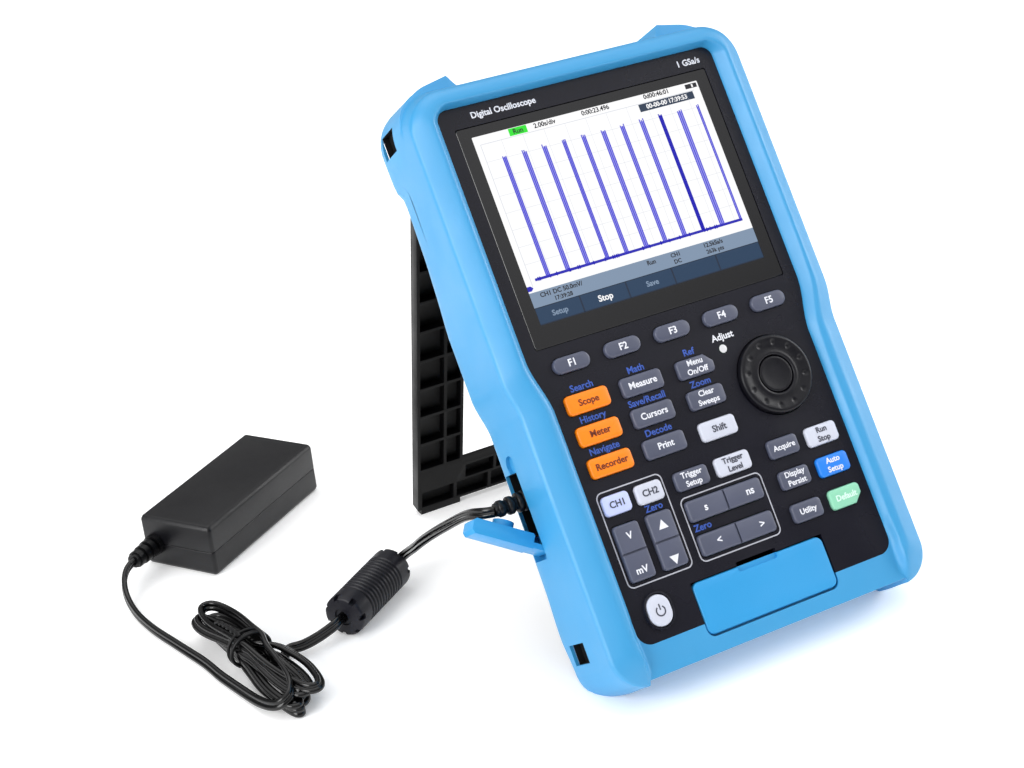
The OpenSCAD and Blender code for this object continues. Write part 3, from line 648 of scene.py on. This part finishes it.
def bumper_point(i, s, z):
    """A point of the bumper for outline point i, share s and height z."""
    x, y = OUTER[i] + s * (INNER[i] - OUTER[i])
    base = OUTER[i][1]
    if z < 0 and s < 0.5:
        k = max(0.0, 1 - s / 0.4)
        if base > 230:
            y += horn(OUTER[i][0], z) * smooth((base - 232) / 22) * (1 if s == 0 else 0.6 + 0.4 * k)
        if abs(OUTER[i][0]) < 66:
            y += -z * 0.18 * max(0.0, 1 - base / 60)
        elif base < 14:
            t = smooth(-z / 24)
            a = math.atan2(base - 13, abs(OUTER[i][0]) - 65)
            x = math.copysign((65 + 1.5 * t) + (15 - 1.5 * t) * math.cos(a), x)
            y = (13 - 3.4 * t) + (15 - 2.2 * t) * math.sin(a)
            if s:
                q = np.array((x, y)) + s * (INNER[i] - np.array((x, y)))
                x, y = q
    if z > 0 and y < 26:
        z *= smooth((abs(x) - 64.3) / 3.4)
    floor = -(LIFT - 0.1 + y * math.sin(LEAN)) / math.cos(LEAN)
    return (x, y, max(z, floor))


def blend_rows(i):
    """Shares of the three rim sections at outline point i."""
    y = OUTER[i][1]
    top = smooth((y - 244) / 15)
    screen = smooth((y - 96) / 60)
    return top, (1 - top) * screen, (1 - top) * (1 - screen)


def make_bumper():
    n = len(OUTER)
    depth = np.interp(OUTER[:, 1], *zip(*SIDE_DEPTH))
    shares = [blend_rows(i) for i in range(n)]
    rings = []
    rows = list(zip(RIM_TOP, RIM_SCREEN, RIM_KEYS))
    for a, b in zip(rows, rows[1:]):
        steps = 1 if a[0][0] == 1 else 2
        for t in (k / steps for k in range(steps)):
            ring = []
            for i in range(n):
                row = [tuple(u + t * (v - u) for u, v in zip(p, q)) for p, q in zip(a, b)]
                share = sum(w * r[0] for w, r in zip(shares[i], row))
                height = sum(w * r[1] for w, r in zip(shares[i], row))
                ring.append(bumper_point(i, share, height))
            rings.append(ring)
    rings.append([bumper_point(i, 0, -1.4) for i in range(n)])
    for s, z, by_depth in SKIRT:
        rings.append([bumper_point(i, s, z * depth[i] if by_depth else z) for i in range(n)])
    rings.append([bumper_point(i, 0.56, -depth[i]) for i in range(n)])
    rings.append([bumper_point(i, 0.56, -4) for i in range(n)])
    rings.append([bumper_point(i, 0.9, -3.4) for i in range(n)])
    verts = [v for ring in rings for v in ring]
    obj = piece("rubber_bumper", verts, band(len(rings), n, True), "bumper", sharp=28,
                replaces=("front_bumper", "rear_bumper"))
    cut(obj, bumper_cuts(), 26)


STRAP_SLOTS = [(246.5, 10.5, CASE_W), (14.6, 9, WAIST_W)]


def bumper_cuts():
    """Strap slots, port window, door recess, bay for the input connectors and the flap's seat."""
    cuts = []
    for s in (-1, 1):
        for y, h, w in STRAP_SLOTS:
            cuts.append(block(s * (w / 2 - 5), s * (w / 2 + 5), y, y + h, -35, -20))
            cuts.append(block(s * (w / 2 - 5), s * (w / 2 - 1.5), y + 0.3, y + h - 0.3, -60, -30))
    cuts.append(block(-90, -65, 71.8, 100.2, -38.4, -24.6))
    cuts.append(block(-90, -75, 61.4, 73.4, -38.4, -24.6))
    turn = Matrix.Translation((-82.2, 103.2, -27.5)) @ Matrix.Rotation(math.radians(90), 4, "Y")
    cuts.append(lathe([(0, -4), (4.6, -4), (4.6, 4), (0, 4)], 32, turn))
    cuts.append(block(-48, 48, 249, 285, -37, -6))
    cuts.append(cap(rounded(67.6, 24.2, 3.9), [(0, -3.7), (0, 9)], at=(0, 19.2)))
    return cuts


make_bumper()


def strap_slot_shade_sheets():
    """Black sheets on the inner walls of the strap slots, a little under the rubber's surface: painted shade
    inside the slots.
    """
    parts = []
    for s in (-1, 1):
        for y, h, w in STRAP_SLOTS:
            a, b = s * (w / 2 - 1.8), s * (w / 2 - 5.1)
            for box in ((y - 0.1, y + 0.15, -35.1, -19.9), (y + h - 0.15, y + h + 0.1, -35.1, -19.9),
                        (y, y + h, -35.1, -34.85), (y, y + h, -20.15, -19.9)):
                parts.append(block(a, b, *box))
            parts.append(block(b, b + s * 0.4, y, y + h, -35, -20))
    piece("strap_slot_painted_shade", *joined(parts), "port", slot="case_plastic")


strap_slot_shade_sheets()
# Painted shade: thin black sheets laid on the rubber walls deep inside the port opening.
port_shade_sheets = [block(-78, -69.4, 71.8, 100.2, *z) for z in ((-38.4, -38.2), (-24.8, -24.6))]
port_shade_sheets += [block(-78, -69.4, *y, -38.4, -24.6) for y in ((71.8, 72.0), (100.0, 100.2))]
piece("port_painted_shade", *joined(port_shade_sheets), "port", slot="case_plastic")

# ---------------------------------------------------------------- keys
KEY_PROUD = 2.0
# Body, x, y, width, height, corner radius, clipped corner, material, legend lines
KEYS = [(f"key_f{i + 1}", -50 + 25 * i, 134.5, 17.5, 7, 3.4, 0, "grey", [f"F{i + 1}"])
        for i in range(5)] + [
    ("key_scope", -49, 117.2, 20.5, 8.6, 2, 0, "orange", ["Scope"]),
    ("key_meter", -49, 103.3, 20.5, 8.6, 2, 0, "orange", ["Meter"]),
    ("key_recorder", -49, 89.3, 20.5, 8.6, 2, 0, "orange", ["Recorder"]),
    ("key_measure", -22.4, 117.2, 20.2, 8.6, 2, 0, "grey", ["Measure"]),
    ("key_cursors", -22.4, 103.3, 20.2, 8.6, 2, 0, "grey", ["Cursors"]),
    ("key_print", -22.4, 89.3, 20.2, 8.6, 2, 0, "grey", ["Print"]),
    ("key_menu", 4.4, 116.8, 18, 8.5, 2, 1, "grey", ["Menu", "On/Off"]),
    ("key_clear", 4.4, 102.9, 18, 8.5, 2, 0, "grey", ["Clear", "Sweeps"]),
    ("key_shift", 4.4, 88.7, 18, 8.5, 2, 0, "white", ["Shift"]),
    ("key_channel_1", -53, 72.7, 12.8, 8.6, 2, 0, "lit", ["CH1"]),
    ("key_channel_2", -37, 72.7, 12.8, 8.6, 2, 0, "white", ["CH2"]),
    ("key_trigger_setup", -16, 72.4, 16.5, 8.4, 2, 0, "grey", ["Trigger", "Setup"]),
    ("key_trigger_level", 5, 72.4, 17.3, 8.4, 2, 0, "white", ["Trigger", "Level"]),
    ("key_acquire", 31, 72, 15.2, 8.4, 2, 0, "grey", ["Acquire"]),
    ("key_display", 31, 57.8, 15.2, 8.4, 2, 0, "grey", ["Display", "Persist"]),
    ("key_utility", 31, 42.8, 15.2, 8.4, 2, 0, "grey", ["Utility"]),
    ("key_run_stop", 51.3, 71.6, 16, 8.8, 2, 0, "white", ["Run", "Stop"]),
    ("key_auto_setup", 51.3, 57.6, 16, 8.8, 2, 0, "blue", ["Auto", "Setup"]),
    ("key_default", 51.3, 42.7, 16, 8.8, 2, 2, "mint", ["Default"]),
    ("key_power", -51.5, 25.5, 10.8, 13.4, 5.3, 0, "white", []),
]
# Key material: its slot, and the legend's material
FINISH = {"grey": ("key_grey", "print_white"), "orange": ("key_orange", "print_brown"),
          "white": ("key_white", "print_dark"), "lit": ("key_white", "print_dark"),
          "blue": ("key_blue", "print_white"), "mint": ("key_mint", "print_green")}


def lettering(lines, x, y, size, z, material, name, body, pitch=1.12):
    """Generic legends, centred on a point of the face, as a thin raised print."""
    parts = []
    for k, words in enumerate(lines):
        data = bpy.data.curves.new("words", "FONT")
        data.body, data.size, data.align_x, data.align_y = words, size, "CENTER", "CENTER"
        data.resolution_u, data.extrude, data.offset = 3, 0.04, size * 0.024
        obj = bpy.data.objects.new("words", data)
        bpy.context.scene.collection.objects.link(obj)
        bpy.context.view_layer.update()
        mesh = bpy.data.meshes.new_from_object(obj.evaluated_get(bpy.context.evaluated_depsgraph_get()))
        dy = ((len(lines) - 1) / 2 - k) * size * pitch
        parts.append(([(x + v.co.x, y + dy + v.co.y, z + v.co.z) for v in mesh.vertices],
                      [tuple(p.vertices) for p in mesh.polygons]))
        bpy.data.objects.remove(obj)
    return piece(name, *joined(parts), material, body=body, sharp=20)


def make_key(body, x, y, w, h, r, corner, material, lines):
    slot, ink = FINISH[material]
    outline = clipped(w, h, r, corner)
    top = KEY_PROUD
    levels = [(0, -4.4), (0, top - 1.1), (0.06, top - 0.75), (0.22, top - 0.42), (0.5, top - 0.18),
              (0.95, top - 0.04)]
    verts, faces = cap(outline, levels, at=(x, y), dome=0.1)
    flange = block(x - w / 2 - 1, x + w / 2 + 1, y - h / 2 - 1, y + h / 2 + 1, -5, -3.4)
    piece(body + "_cap", *joined([(verts, faces), flange]), material, body=body, sharp=32,
          replaces=(body,), slot=slot)
    if lines:
        size = 4.3 if body.startswith("key_f") else 4.0 if len(lines) == 1 else 3.5
        size *= min(1, (w - 1.6) / (0.56 * size * max(len(t) for t in lines)))
        lettering(lines, x, y, size, top + 0.1, ink, body + "_legend", body)


for key in KEYS:
    make_key(*key)


def power_mark():
    """The standby sign: an open ring with a stroke."""
    verts = []
    z = KEY_PROUD + 0.12
    steps = 28
    for i in range(steps + 1):
        a = math.radians(125 + 290 * i / steps)
        for r in (1.75, 2.35):
            verts.append((-51.5 + r * math.cos(a), 25.2 + r * math.sin(a), z))
    faces = [(2 * i, 2 * i + 1, 2 * i + 3, 2 * i + 2) for i in range(steps)]
    stroke = [(-51.8, 25.6, z), (-51.2, 25.6, z), (-51.2, 28.2, z), (-51.8, 28.2, z)]
    piece("key_power_mark", *joined([(verts, faces), (stroke, [(0, 1, 2, 3)])]), "print_dark",
          body="key_power", slot="key_white")


power_mark()

ROCKERS = {"rocker_volts": (-53, 51.7, 12.2, 24.5), "rocker_position": (-37, 51.7, 12.2, 24.5),
           "rocker_timebase": (-4.8, 59, 37.6, 9.4), "rocker_horizontal": (-4.8, 44, 37.6, 9.4)}


def make_rocker(body, x, y, w, h):
    """Two thumb pads that fall towards a groove across the middle."""
    outline = np.array(rounded(w, h, 1.8))
    rings = []
    for d, drop in ((0, 6.6), (0, 1.5), (0.08, 0.95), (0.28, 0.5), (0.62, 0.18), (1.1, 0.04)):
        rings.append([(px, py, KEY_PROUD + 0.1 - drop) for px, py in inset(outline, d)])
    n = len(outline)
    verts = [v for ring in rings for v in ring]
    faces = band(len(rings), n)
    faces.append(tuple(range(n))[::-1])
    faces.append(tuple((len(rings) - 1) * n + i for i in range(n)))
    verts = [(x + a, y + b, c) for a, b, c in verts]
    obj = piece(body + "_cap", verts, faces, "grey", body=body, sharp=32, replaces=(body,),
                slot="key_grey")
    half_x, half_y = (0.45, 12) if w > h else (20, 0.45)
    groove = block(x - half_x, x + half_x, y - half_y, y + half_y, KEY_PROUD - 0.7, KEY_PROUD + 3)
    cut(obj, [groove], 32)


for name, spec in ROCKERS.items():
    make_rocker(name, *spec)

TOP = KEY_PROUD + 0.14
for body, words, x, y, size in (
        ("rocker_volts", "V", -53, 58.6, 4.2), ("rocker_volts", "mV", -53, 43.6, 4.2),
        ("rocker_timebase", "s", -15, 59, 4.6), ("rocker_timebase", "ns", 7.4, 59, 4.6),
        ("rocker_horizontal", "<", -14.4, 44, 4.4), ("rocker_horizontal", ">", 7.4, 44, 4.4)):
    tag = {"<": "back", ">": "on"}.get(words, words)
    lettering([words], x, y, size, TOP, "print_white", f"{body}_{tag}", body)
for tag, y, s in (("up", 58.4, 1), ("down", 42.8, -1)):
    arrow = [(-37 - 2.3, y - 1.9 * s, TOP), (-37 + 2.3, y - 1.9 * s, TOP), (-37, y + 2.1 * s, TOP)]
    piece("rocker_position_" + tag, arrow, [(0, 1, 2)], "print_white", body="rocker_position",
          slot="key_grey")


# ---------------------------------------------------------------- panel print, ring, lamp
def frame_line(x0, x1, y0, y1, r, line, z=0.06):
    """A thin printed box with round corners."""
    w, h, middle = x1 - x0, y1 - y0, ((x0 + x1) / 2, (y0 + y1) / 2)
    outer = np.array(rounded(w, h, r)) + middle
    inner = np.array(rounded(w - 2 * line, h - 2 * line, r - line)) + middle
    return [(x, y, z) for x, y in (*outer, *inner)], band(2, len(outer))


boxes = [frame_line(-60.8, -28.8, 37.4, 79.3, 3, 0.55), frame_line(-25, 16.2, 37.2, 65.7, 3, 0.55)]
piece("panel_frames", *joined(boxes), "print_grey", slot="panel_plastic")
for k, (words, x, y) in enumerate((
        ("Search", -49, 123.9), ("History", -49, 110.1), ("Navigate", -49, 96.2),
        ("Math", -22.4, 123.9), ("Save/Recall", -22.4, 110.0), ("Decode", -22.4, 96.1),
        ("Ref", 4.3, 123.7), ("Zoom", 4.6, 109.6), ("Zero", -37, 66.2), ("Zero", -18.6, 51.6))):
    label = lettering([words], x, y, 4.1, 0.03, "print_blue", f"panel_legend_{k}", "case")
for words, x, y, size, name in (("Adjust", 22.7, 125.7, 4.2, "panel_legend_dial"),
                                ("Digital Oscilloscope", -38, 248, 3.9, "panel_title"),
                                ("1 GSa/s", 56, 247.6, 4.0, "panel_rate")):
    lettering([words], x, y, size, 0.03, "print_white", name, "case")
verts, faces = lathe([(0, 0.5), (1.2, 0.45), (1.8, 0.2), (1.95, -1.5), (1.9, -3)], 32)
piece("indicator_lamp", [(x + 20.9, y + 120.5, z) for x, y, z in verts], faces, "lamp", slot="panel_plastic")


def raised_ring():
    """Low oval collar moulded round the power key."""
    rings = []
    for w, h, z in ((11.9, 14.5, -0.5), (11.9, 14.5, 0.9), (12.5, 15.1, 1.25), (13.2, 15.8, 1.2),
                    (13.9, 16.5, 0.5), (14.2, 16.8, -0.3)):
        rings.append([(x - 51.5, y + 25.5, z) for x, y in rounded(w, h, w / 2 - 0.1, 12)])
    piece("power_key_collar", [v for r in rings for v in r], band(len(rings), len(rings[0])), "panel",
          slot="panel_plastic")


raised_ring()


# ---------------------------------------------------------------- dial
def make_dial():
    r, dimple_at, dimple_r = 17.6, 14.2, 1.35
    profile = [(8.6, -3.2), (8.5, 2.0), (8.9, 2.5), (9.6, 2.6), (10.6, 2.35), (12, 2.35), (13, 2.5),
               (14, 2.75), (15, 3.0), (16, 3.15), (16.7, 3.05), (17.2, 2.7), (17.5, 2.1), (r, 1.2),
               (r, -5.5), (5, -5.5)]
    dense = []
    for (r0, z0), (r1, z1) in zip(profile, profile[1:]):
        steps = max(1, int(math.hypot(r1 - r0, z1 - z0) / 0.45)) if z0 > 1 and z1 > 1 else 1
        dense += [(r0 + (r1 - r0) * i / steps, z0 + (z1 - z0) * i / steps) for i in range(steps)]
    dense.append(profile[-1])
    verts, faces = lathe(dense, 288)
    shaped = []
    for x, y, z in verts:
        q, a = math.hypot(x, y), math.degrees(math.atan2(y, x))
        near = abs((a - 15) % 30)
        near = min(near, 30 - near)
        away = math.hypot(q - dimple_at, math.radians(near) * dimple_at) / dimple_r
        if z > 1.5 and away < 1:
            z -= 0.62 * math.cos(away * math.pi / 2) ** 0.8
        shaped.append((x + DIAL_AT[0], y + DIAL_AT[1], z))
    piece("dial_grip_ring", shaped, faces, "dial", body="dial_ring", sharp=50, replaces=("dial_ring",),
          slot="dial_plastic")
    button = [(0, 1.75), (3, 1.8), (5.6, 1.95), (6.8, 2.15), (7.5, 2.2), (7.95, 1.9), (8.1, 1.3),
              (8.1, -1.2), (2, -1.2), (2, -3.2), (0, -3.2)]
    verts, faces = lathe(button, 96)
    piece("dial_centre", [(x + DIAL_AT[0], y + DIAL_AT[1], z) for x, y, z in verts], faces, "dial",
          body="dial_button", sharp=50, replaces=("dial_button",), slot="dial_plastic")


make_dial()


# ---------------------------------------------------------------- screen
VIEW_X, VIEW_Y0, VIEW_Y1 = 56.9, 153.33, 238.67
MID, WINDOW_MID = 196.0, 193.5  # middle of the display and of the window over it, up the face
LAYER = 0.02


def panes(rows, name, material, z):
    """Flat areas of the screen: x0, x1, y0, y1 from the middle of the display."""
    parts = [([(a, MID + c, z), (b, MID + c, z), (b, MID + d, z), (a, MID + d, z)], [(0, 1, 2, 3)])
             for a, b, c, d in rows]
    return piece(name, *joined(parts), material, slot="display")


def make_bezel():
    """The window's black border, open over the display."""
    glass = np.array(rounded(126, 99.6, 1.2))
    window = np.array(rounded(2 * VIEW_X, VIEW_Y1 - VIEW_Y0, 0.4)) + (0, MID - WINDOW_MID)
    rings = [(glass, -1.6), (glass, -0.25), (inset(glass, 0.25), -0.05), (window, -0.05), (window, -1.6)]
    verts = [(x, y + WINDOW_MID, z) for ring, z in rings for x, y in ring]
    piece("window_bezel", verts, band(len(rings), len(glass), True), "bezel", replaces=("screen_lens",),
          slot="lens_glass")


make_bezel()


def make_screen():
    """The display's picture, in thin layers from the ground up to the ink."""
    z = -0.16
    panes([(-VIEW_X, VIEW_X, -28.3, 42.67)], "screen_ground", "s_white", z)
    panes([(-VIEW_X, VIEW_X, -35, -28.3)], "screen_status", "s_strip", z)
    panes([(-VIEW_X, VIEW_X, -42.67, -35)], "screen_softkeys", "s_navy", z)
    z += LAYER
    edges = [(x - 0.35, x + 0.35, -42.5, -35) for x in (-57.0, -35.2, -12.3, 11, 34, 57)]
    panes(edges + [(-VIEW_X, VIEW_X, -35.25, -34.9), (-VIEW_X, VIEW_X, -42.67, -42.2)], "screen_key_edges",
          "s_navy_edge", z)
    grid = [(x - 0.08, x + 0.08, -24, 38.6) for x in np.arange(-44, 54, 10.4)]
    grid += [(-54, 54, y - 0.08, y + 0.08) for y in np.arange(-16, 38, 7.8)]
    grid += [(-54.2, -53.9, -26, 38.8), (-54, 54, 38.6, 38.9)]
    panes(grid, "screen_grid", "s_grid", z)
    panes([(-39.5, -30.7, 39.2, 42.5)], "screen_run_chip", "s_green", z)
    panes([(24.5, 53, 35, 38.5)], "screen_date_chip", "s_slate", z)
    panes([(50.2, 53.4, 39.9, 42.0), (54.2, 56.2, 39.9, 42.0), (53.4, 54.2, 39.9, 40.2),
           (53.4, 54.2, 41.7, 42.0)], "screen_battery", "s_ink", z)
    z += LAYER
    # Bursts of the trace: place across the display, and width
    bars = [(-45.5, 2.0), (-35.8, 2.2), (-26, 2.2), (-16.2, 1.9), (-6.5, 2.1), (3.5, 2.3), (13.2, 2.2),
            (23.2, 2.3), (33, 1.9), (43, 2.5), (52.7, 1.3)]
    base = -23.2
    thin, thick = [], []
    for k, (x, w) in enumerate(bars):
        strands = 3 if w > 1.5 else 2
        for j in range(strands):
            off = (j / (strands - 1) - 0.5) * (w - 0.5)
            top = 32.3 - rng.uniform(0, 1.1)
            (thick if k == 8 else thin).append((x + off - 0.27, x + off + 0.27, base, top))
    soft = [(x - w / 2, x + w / 2, base, 31.0) for x, w in bars if x != 33]
    panes(soft, "screen_burst_soft", "s_trace_light", z)
    z += LAYER
    panes(thin, "screen_bursts", "s_trace", z)
    thick += [(32.1, 33.9, base, 31.4), (-52, 53.5, -23.95, -22.75)]
    panes(thick, "screen_baseline", "s_trace_dark", z)
    jag = [(x, x + 0.5, -24.2, -22.4) for x in rng.uniform(-51, 52, 26)]
    panes(jag, "screen_noise", "s_trace_dark", z)
    marker = [(-57, MID - 25.4, z), (-55.2, MID - 25.4, z), (-54, MID - 26.5, z), (-55.2, MID - 27.6, z),
              (-57, MID - 27.6, z)]
    piece("screen_marker", marker, [(0, 1, 2, 3, 4)], "s_trace_dark", slot="display")
    ink = z - 0.01
    for k, (words, x, y, size, material) in enumerate((
            ("Run", -35.1, 40.8, 3.1, "s_ink"), ("2.00s/div", -22, 40.9, 3.0, "s_ink"),
            ("0:00:23.496", 3.5, 41.0, 3.0, "s_ink"), ("0d00:46:01", 35, 41.2, 3.0, "s_ink"),
            ("00-00-00 17:39:53", 38.8, 36.7, 2.9, "s_white"), ("CH1 DC 50.0mV/", -42, -30.3, 2.8, "s_ink"),
            ("17:39:28", -42, -33.2, 2.6, "s_ink"), ("Run", 3, -30.3, 2.8, "s_ink"),
            ("CH1", 15.5, -30.1, 2.6, "s_ink"), ("DC", 15.5, -33.1, 2.6, "s_ink"),
            ("12.5kSa/s", 35, -30.0, 2.7, "s_ink"), ("263k pts", 35, -33.0, 2.6, "s_ink"),
            ("Setup", -46, -39, 3.4, "s_strip"), ("Stop", -23.6, -39, 3.9, "s_white"),
            ("Save", 0, -39, 3.4, "s_strip"))):
        lettering([words], x, MID + y, size, ink, material, f"screen_text_{k}", "case")


make_screen()


# ---------------------------------------------------------------- flap, door, plug
def make_flap():
    w, h, t = 66.6, 22.8, 2.6
    levels = [(0, -t), (0, -0.9), (0.2, -0.4), (0.5, -0.1), (1.0, 0)]
    obj = piece("meter_flap_cover", *cap(rounded(w, h, 3.4), levels, at=(0, 19.4)), "door",
                body="meter_flap", replaces=("meter_flap",), slot="bumper_rubber")
    scoop = cap(rounded(20, 5.6, 1.2), [(0, -1.0), (0, 4)], at=(0, 31.2))
    cut(obj, [scoop], 30)


make_flap()
soften("side_door", "door", "side_door", 0.8, "port_door", 3)


def make_plug():
    """Moulded plug with a ribbed relief, seated in the power jack."""
    at = (-79.5, 88.0, -30.0)
    profile = [(0, -18), (2.75, -18), (2.75, -10.2), (4.5, -10.2), (4.6, -9.8), (4.6, -0.4), (4.3, 0)]
    for i in range(3):
        r, z = 4.35 - 0.35 * i, 4.5 * i
        profile += [(r - 0.35, z + 0.3), (r, z + 0.9), (r, z + 2.6), (r - 0.35, z + 3.1), (2.9, z + 3.3),
                    (2.9, z + 4.3)]
    profile += [(2.8, 13.4), (1.5, 13.5), (0, 13.5)]
    turn = Matrix.Translation(at) @ Matrix.Rotation(math.radians(-90), 4, "Y")
    piece("power_plug", *lathe(profile, 48, turn), "relief", sharp=50, replaces=("dc_plug",), slot="cord_pvc")


make_plug()

# ---------------------------------------------------------------- stand, back and fittings
soften("kickstand", "stand", "kickstand", 0.25, "stand_frame", 2)
for node, material in {
        "front_case": "panel", "rear_case": "case", "display_module": "port", "keypad_board": "board",
        "main_board": "board", "battery_pack": "battery", "battery_cover": "case", "case_screws": "steel",
        "meter_jacks": "case", "port_block": "port", "bnc_jacks": "nickel", "dial_encoder": "steel",
        "adapter_gland": "relief", "adapter_inlet": "case"
        }.items():
    obj = frame["nodes"][node]
    if not obj.material_slots:
        obj.data.materials.append(M[material])
    for s in obj.material_slots:
        s.material = M[material]


# ---------------------------------------------------------------- stage and light
def make_stage():
    size = 6.0  # half width in metres
    mesh = bpy.data.meshes.new("bench")
    corners = [(-size, -size, 0), (size, -size, 0), (size, size, 0), (-size, size, 0)]
    mesh.from_pydata(corners, [], [(0, 1, 2, 3)])
    bench = bpy.data.objects.new("bench", mesh)
    bpy.context.scene.collection.objects.link(bench)
    top = surface("bench_top", srgb(250, 250, 250), 0.8, 0.005, specular=0.1)
    shader = top.node_tree.nodes["Principled BSDF"]
    shader.inputs["Emission Color"].default_value = (1, 1, 1, 1)
    shader.inputs["Emission Strength"].default_value = 0.22
    mesh.materials.append(top)
    world = bpy.data.worlds.new("studio")
    world.use_nodes = True
    nt = world.node_tree
    back = nt.nodes["Background"]
    height = nt.nodes.new("ShaderNodeSeparateXYZ")
    level = nt.nodes.new("ShaderNodeValToRGB")
    level.color_ramp.interpolation = "EASE"
    stops = level.color_ramp.elements
    stops[0].position, stops[1].position = 0.12, 0.68
    for at, grey in ((0.28, 0.1), (0.43, 0.1)):
        stops.new(at).color = (grey, grey, grey, 1)
    stops[0].color, stops[3].color = (0.6, 0.6, 0.6, 1), (1, 1, 1, 1)
    nt.links.new(nt.nodes.new("ShaderNodeTexCoord").outputs["Generated"], height.inputs[0])
    nt.links.new(height.outputs["Z"], level.inputs["Fac"])
    nt.links.new(level.outputs["Color"], back.inputs["Color"])
    back.inputs["Strength"].default_value = 1.0
    bpy.context.scene.world = world
    # Lights in metres and watts, each a square of its own width aimed at the case
    for name, at, aim, power, width in (("left_light", (-1.9, -0.5, 0.9), (0, 0, 0.1), 34, 1.2),
                                        ("right_light", (1.8, -0.4, 0.9), (0, 0, 0.1), 24, 1.1),
                                        ("top_light", (0.1, 0.6, 2.0), (0, 0, 0), 10, 1.8)):
        data = bpy.data.lights.new(name, "AREA")
        data.energy, data.size = power, width
        lamp = bpy.data.objects.new(name, data)
        lamp.location = at
        lamp.rotation_euler = (Vector(aim) - Vector(at)).to_track_quat("-Z", "Y").to_euler()
        bpy.context.scene.collection.objects.link(lamp)


make_stage()
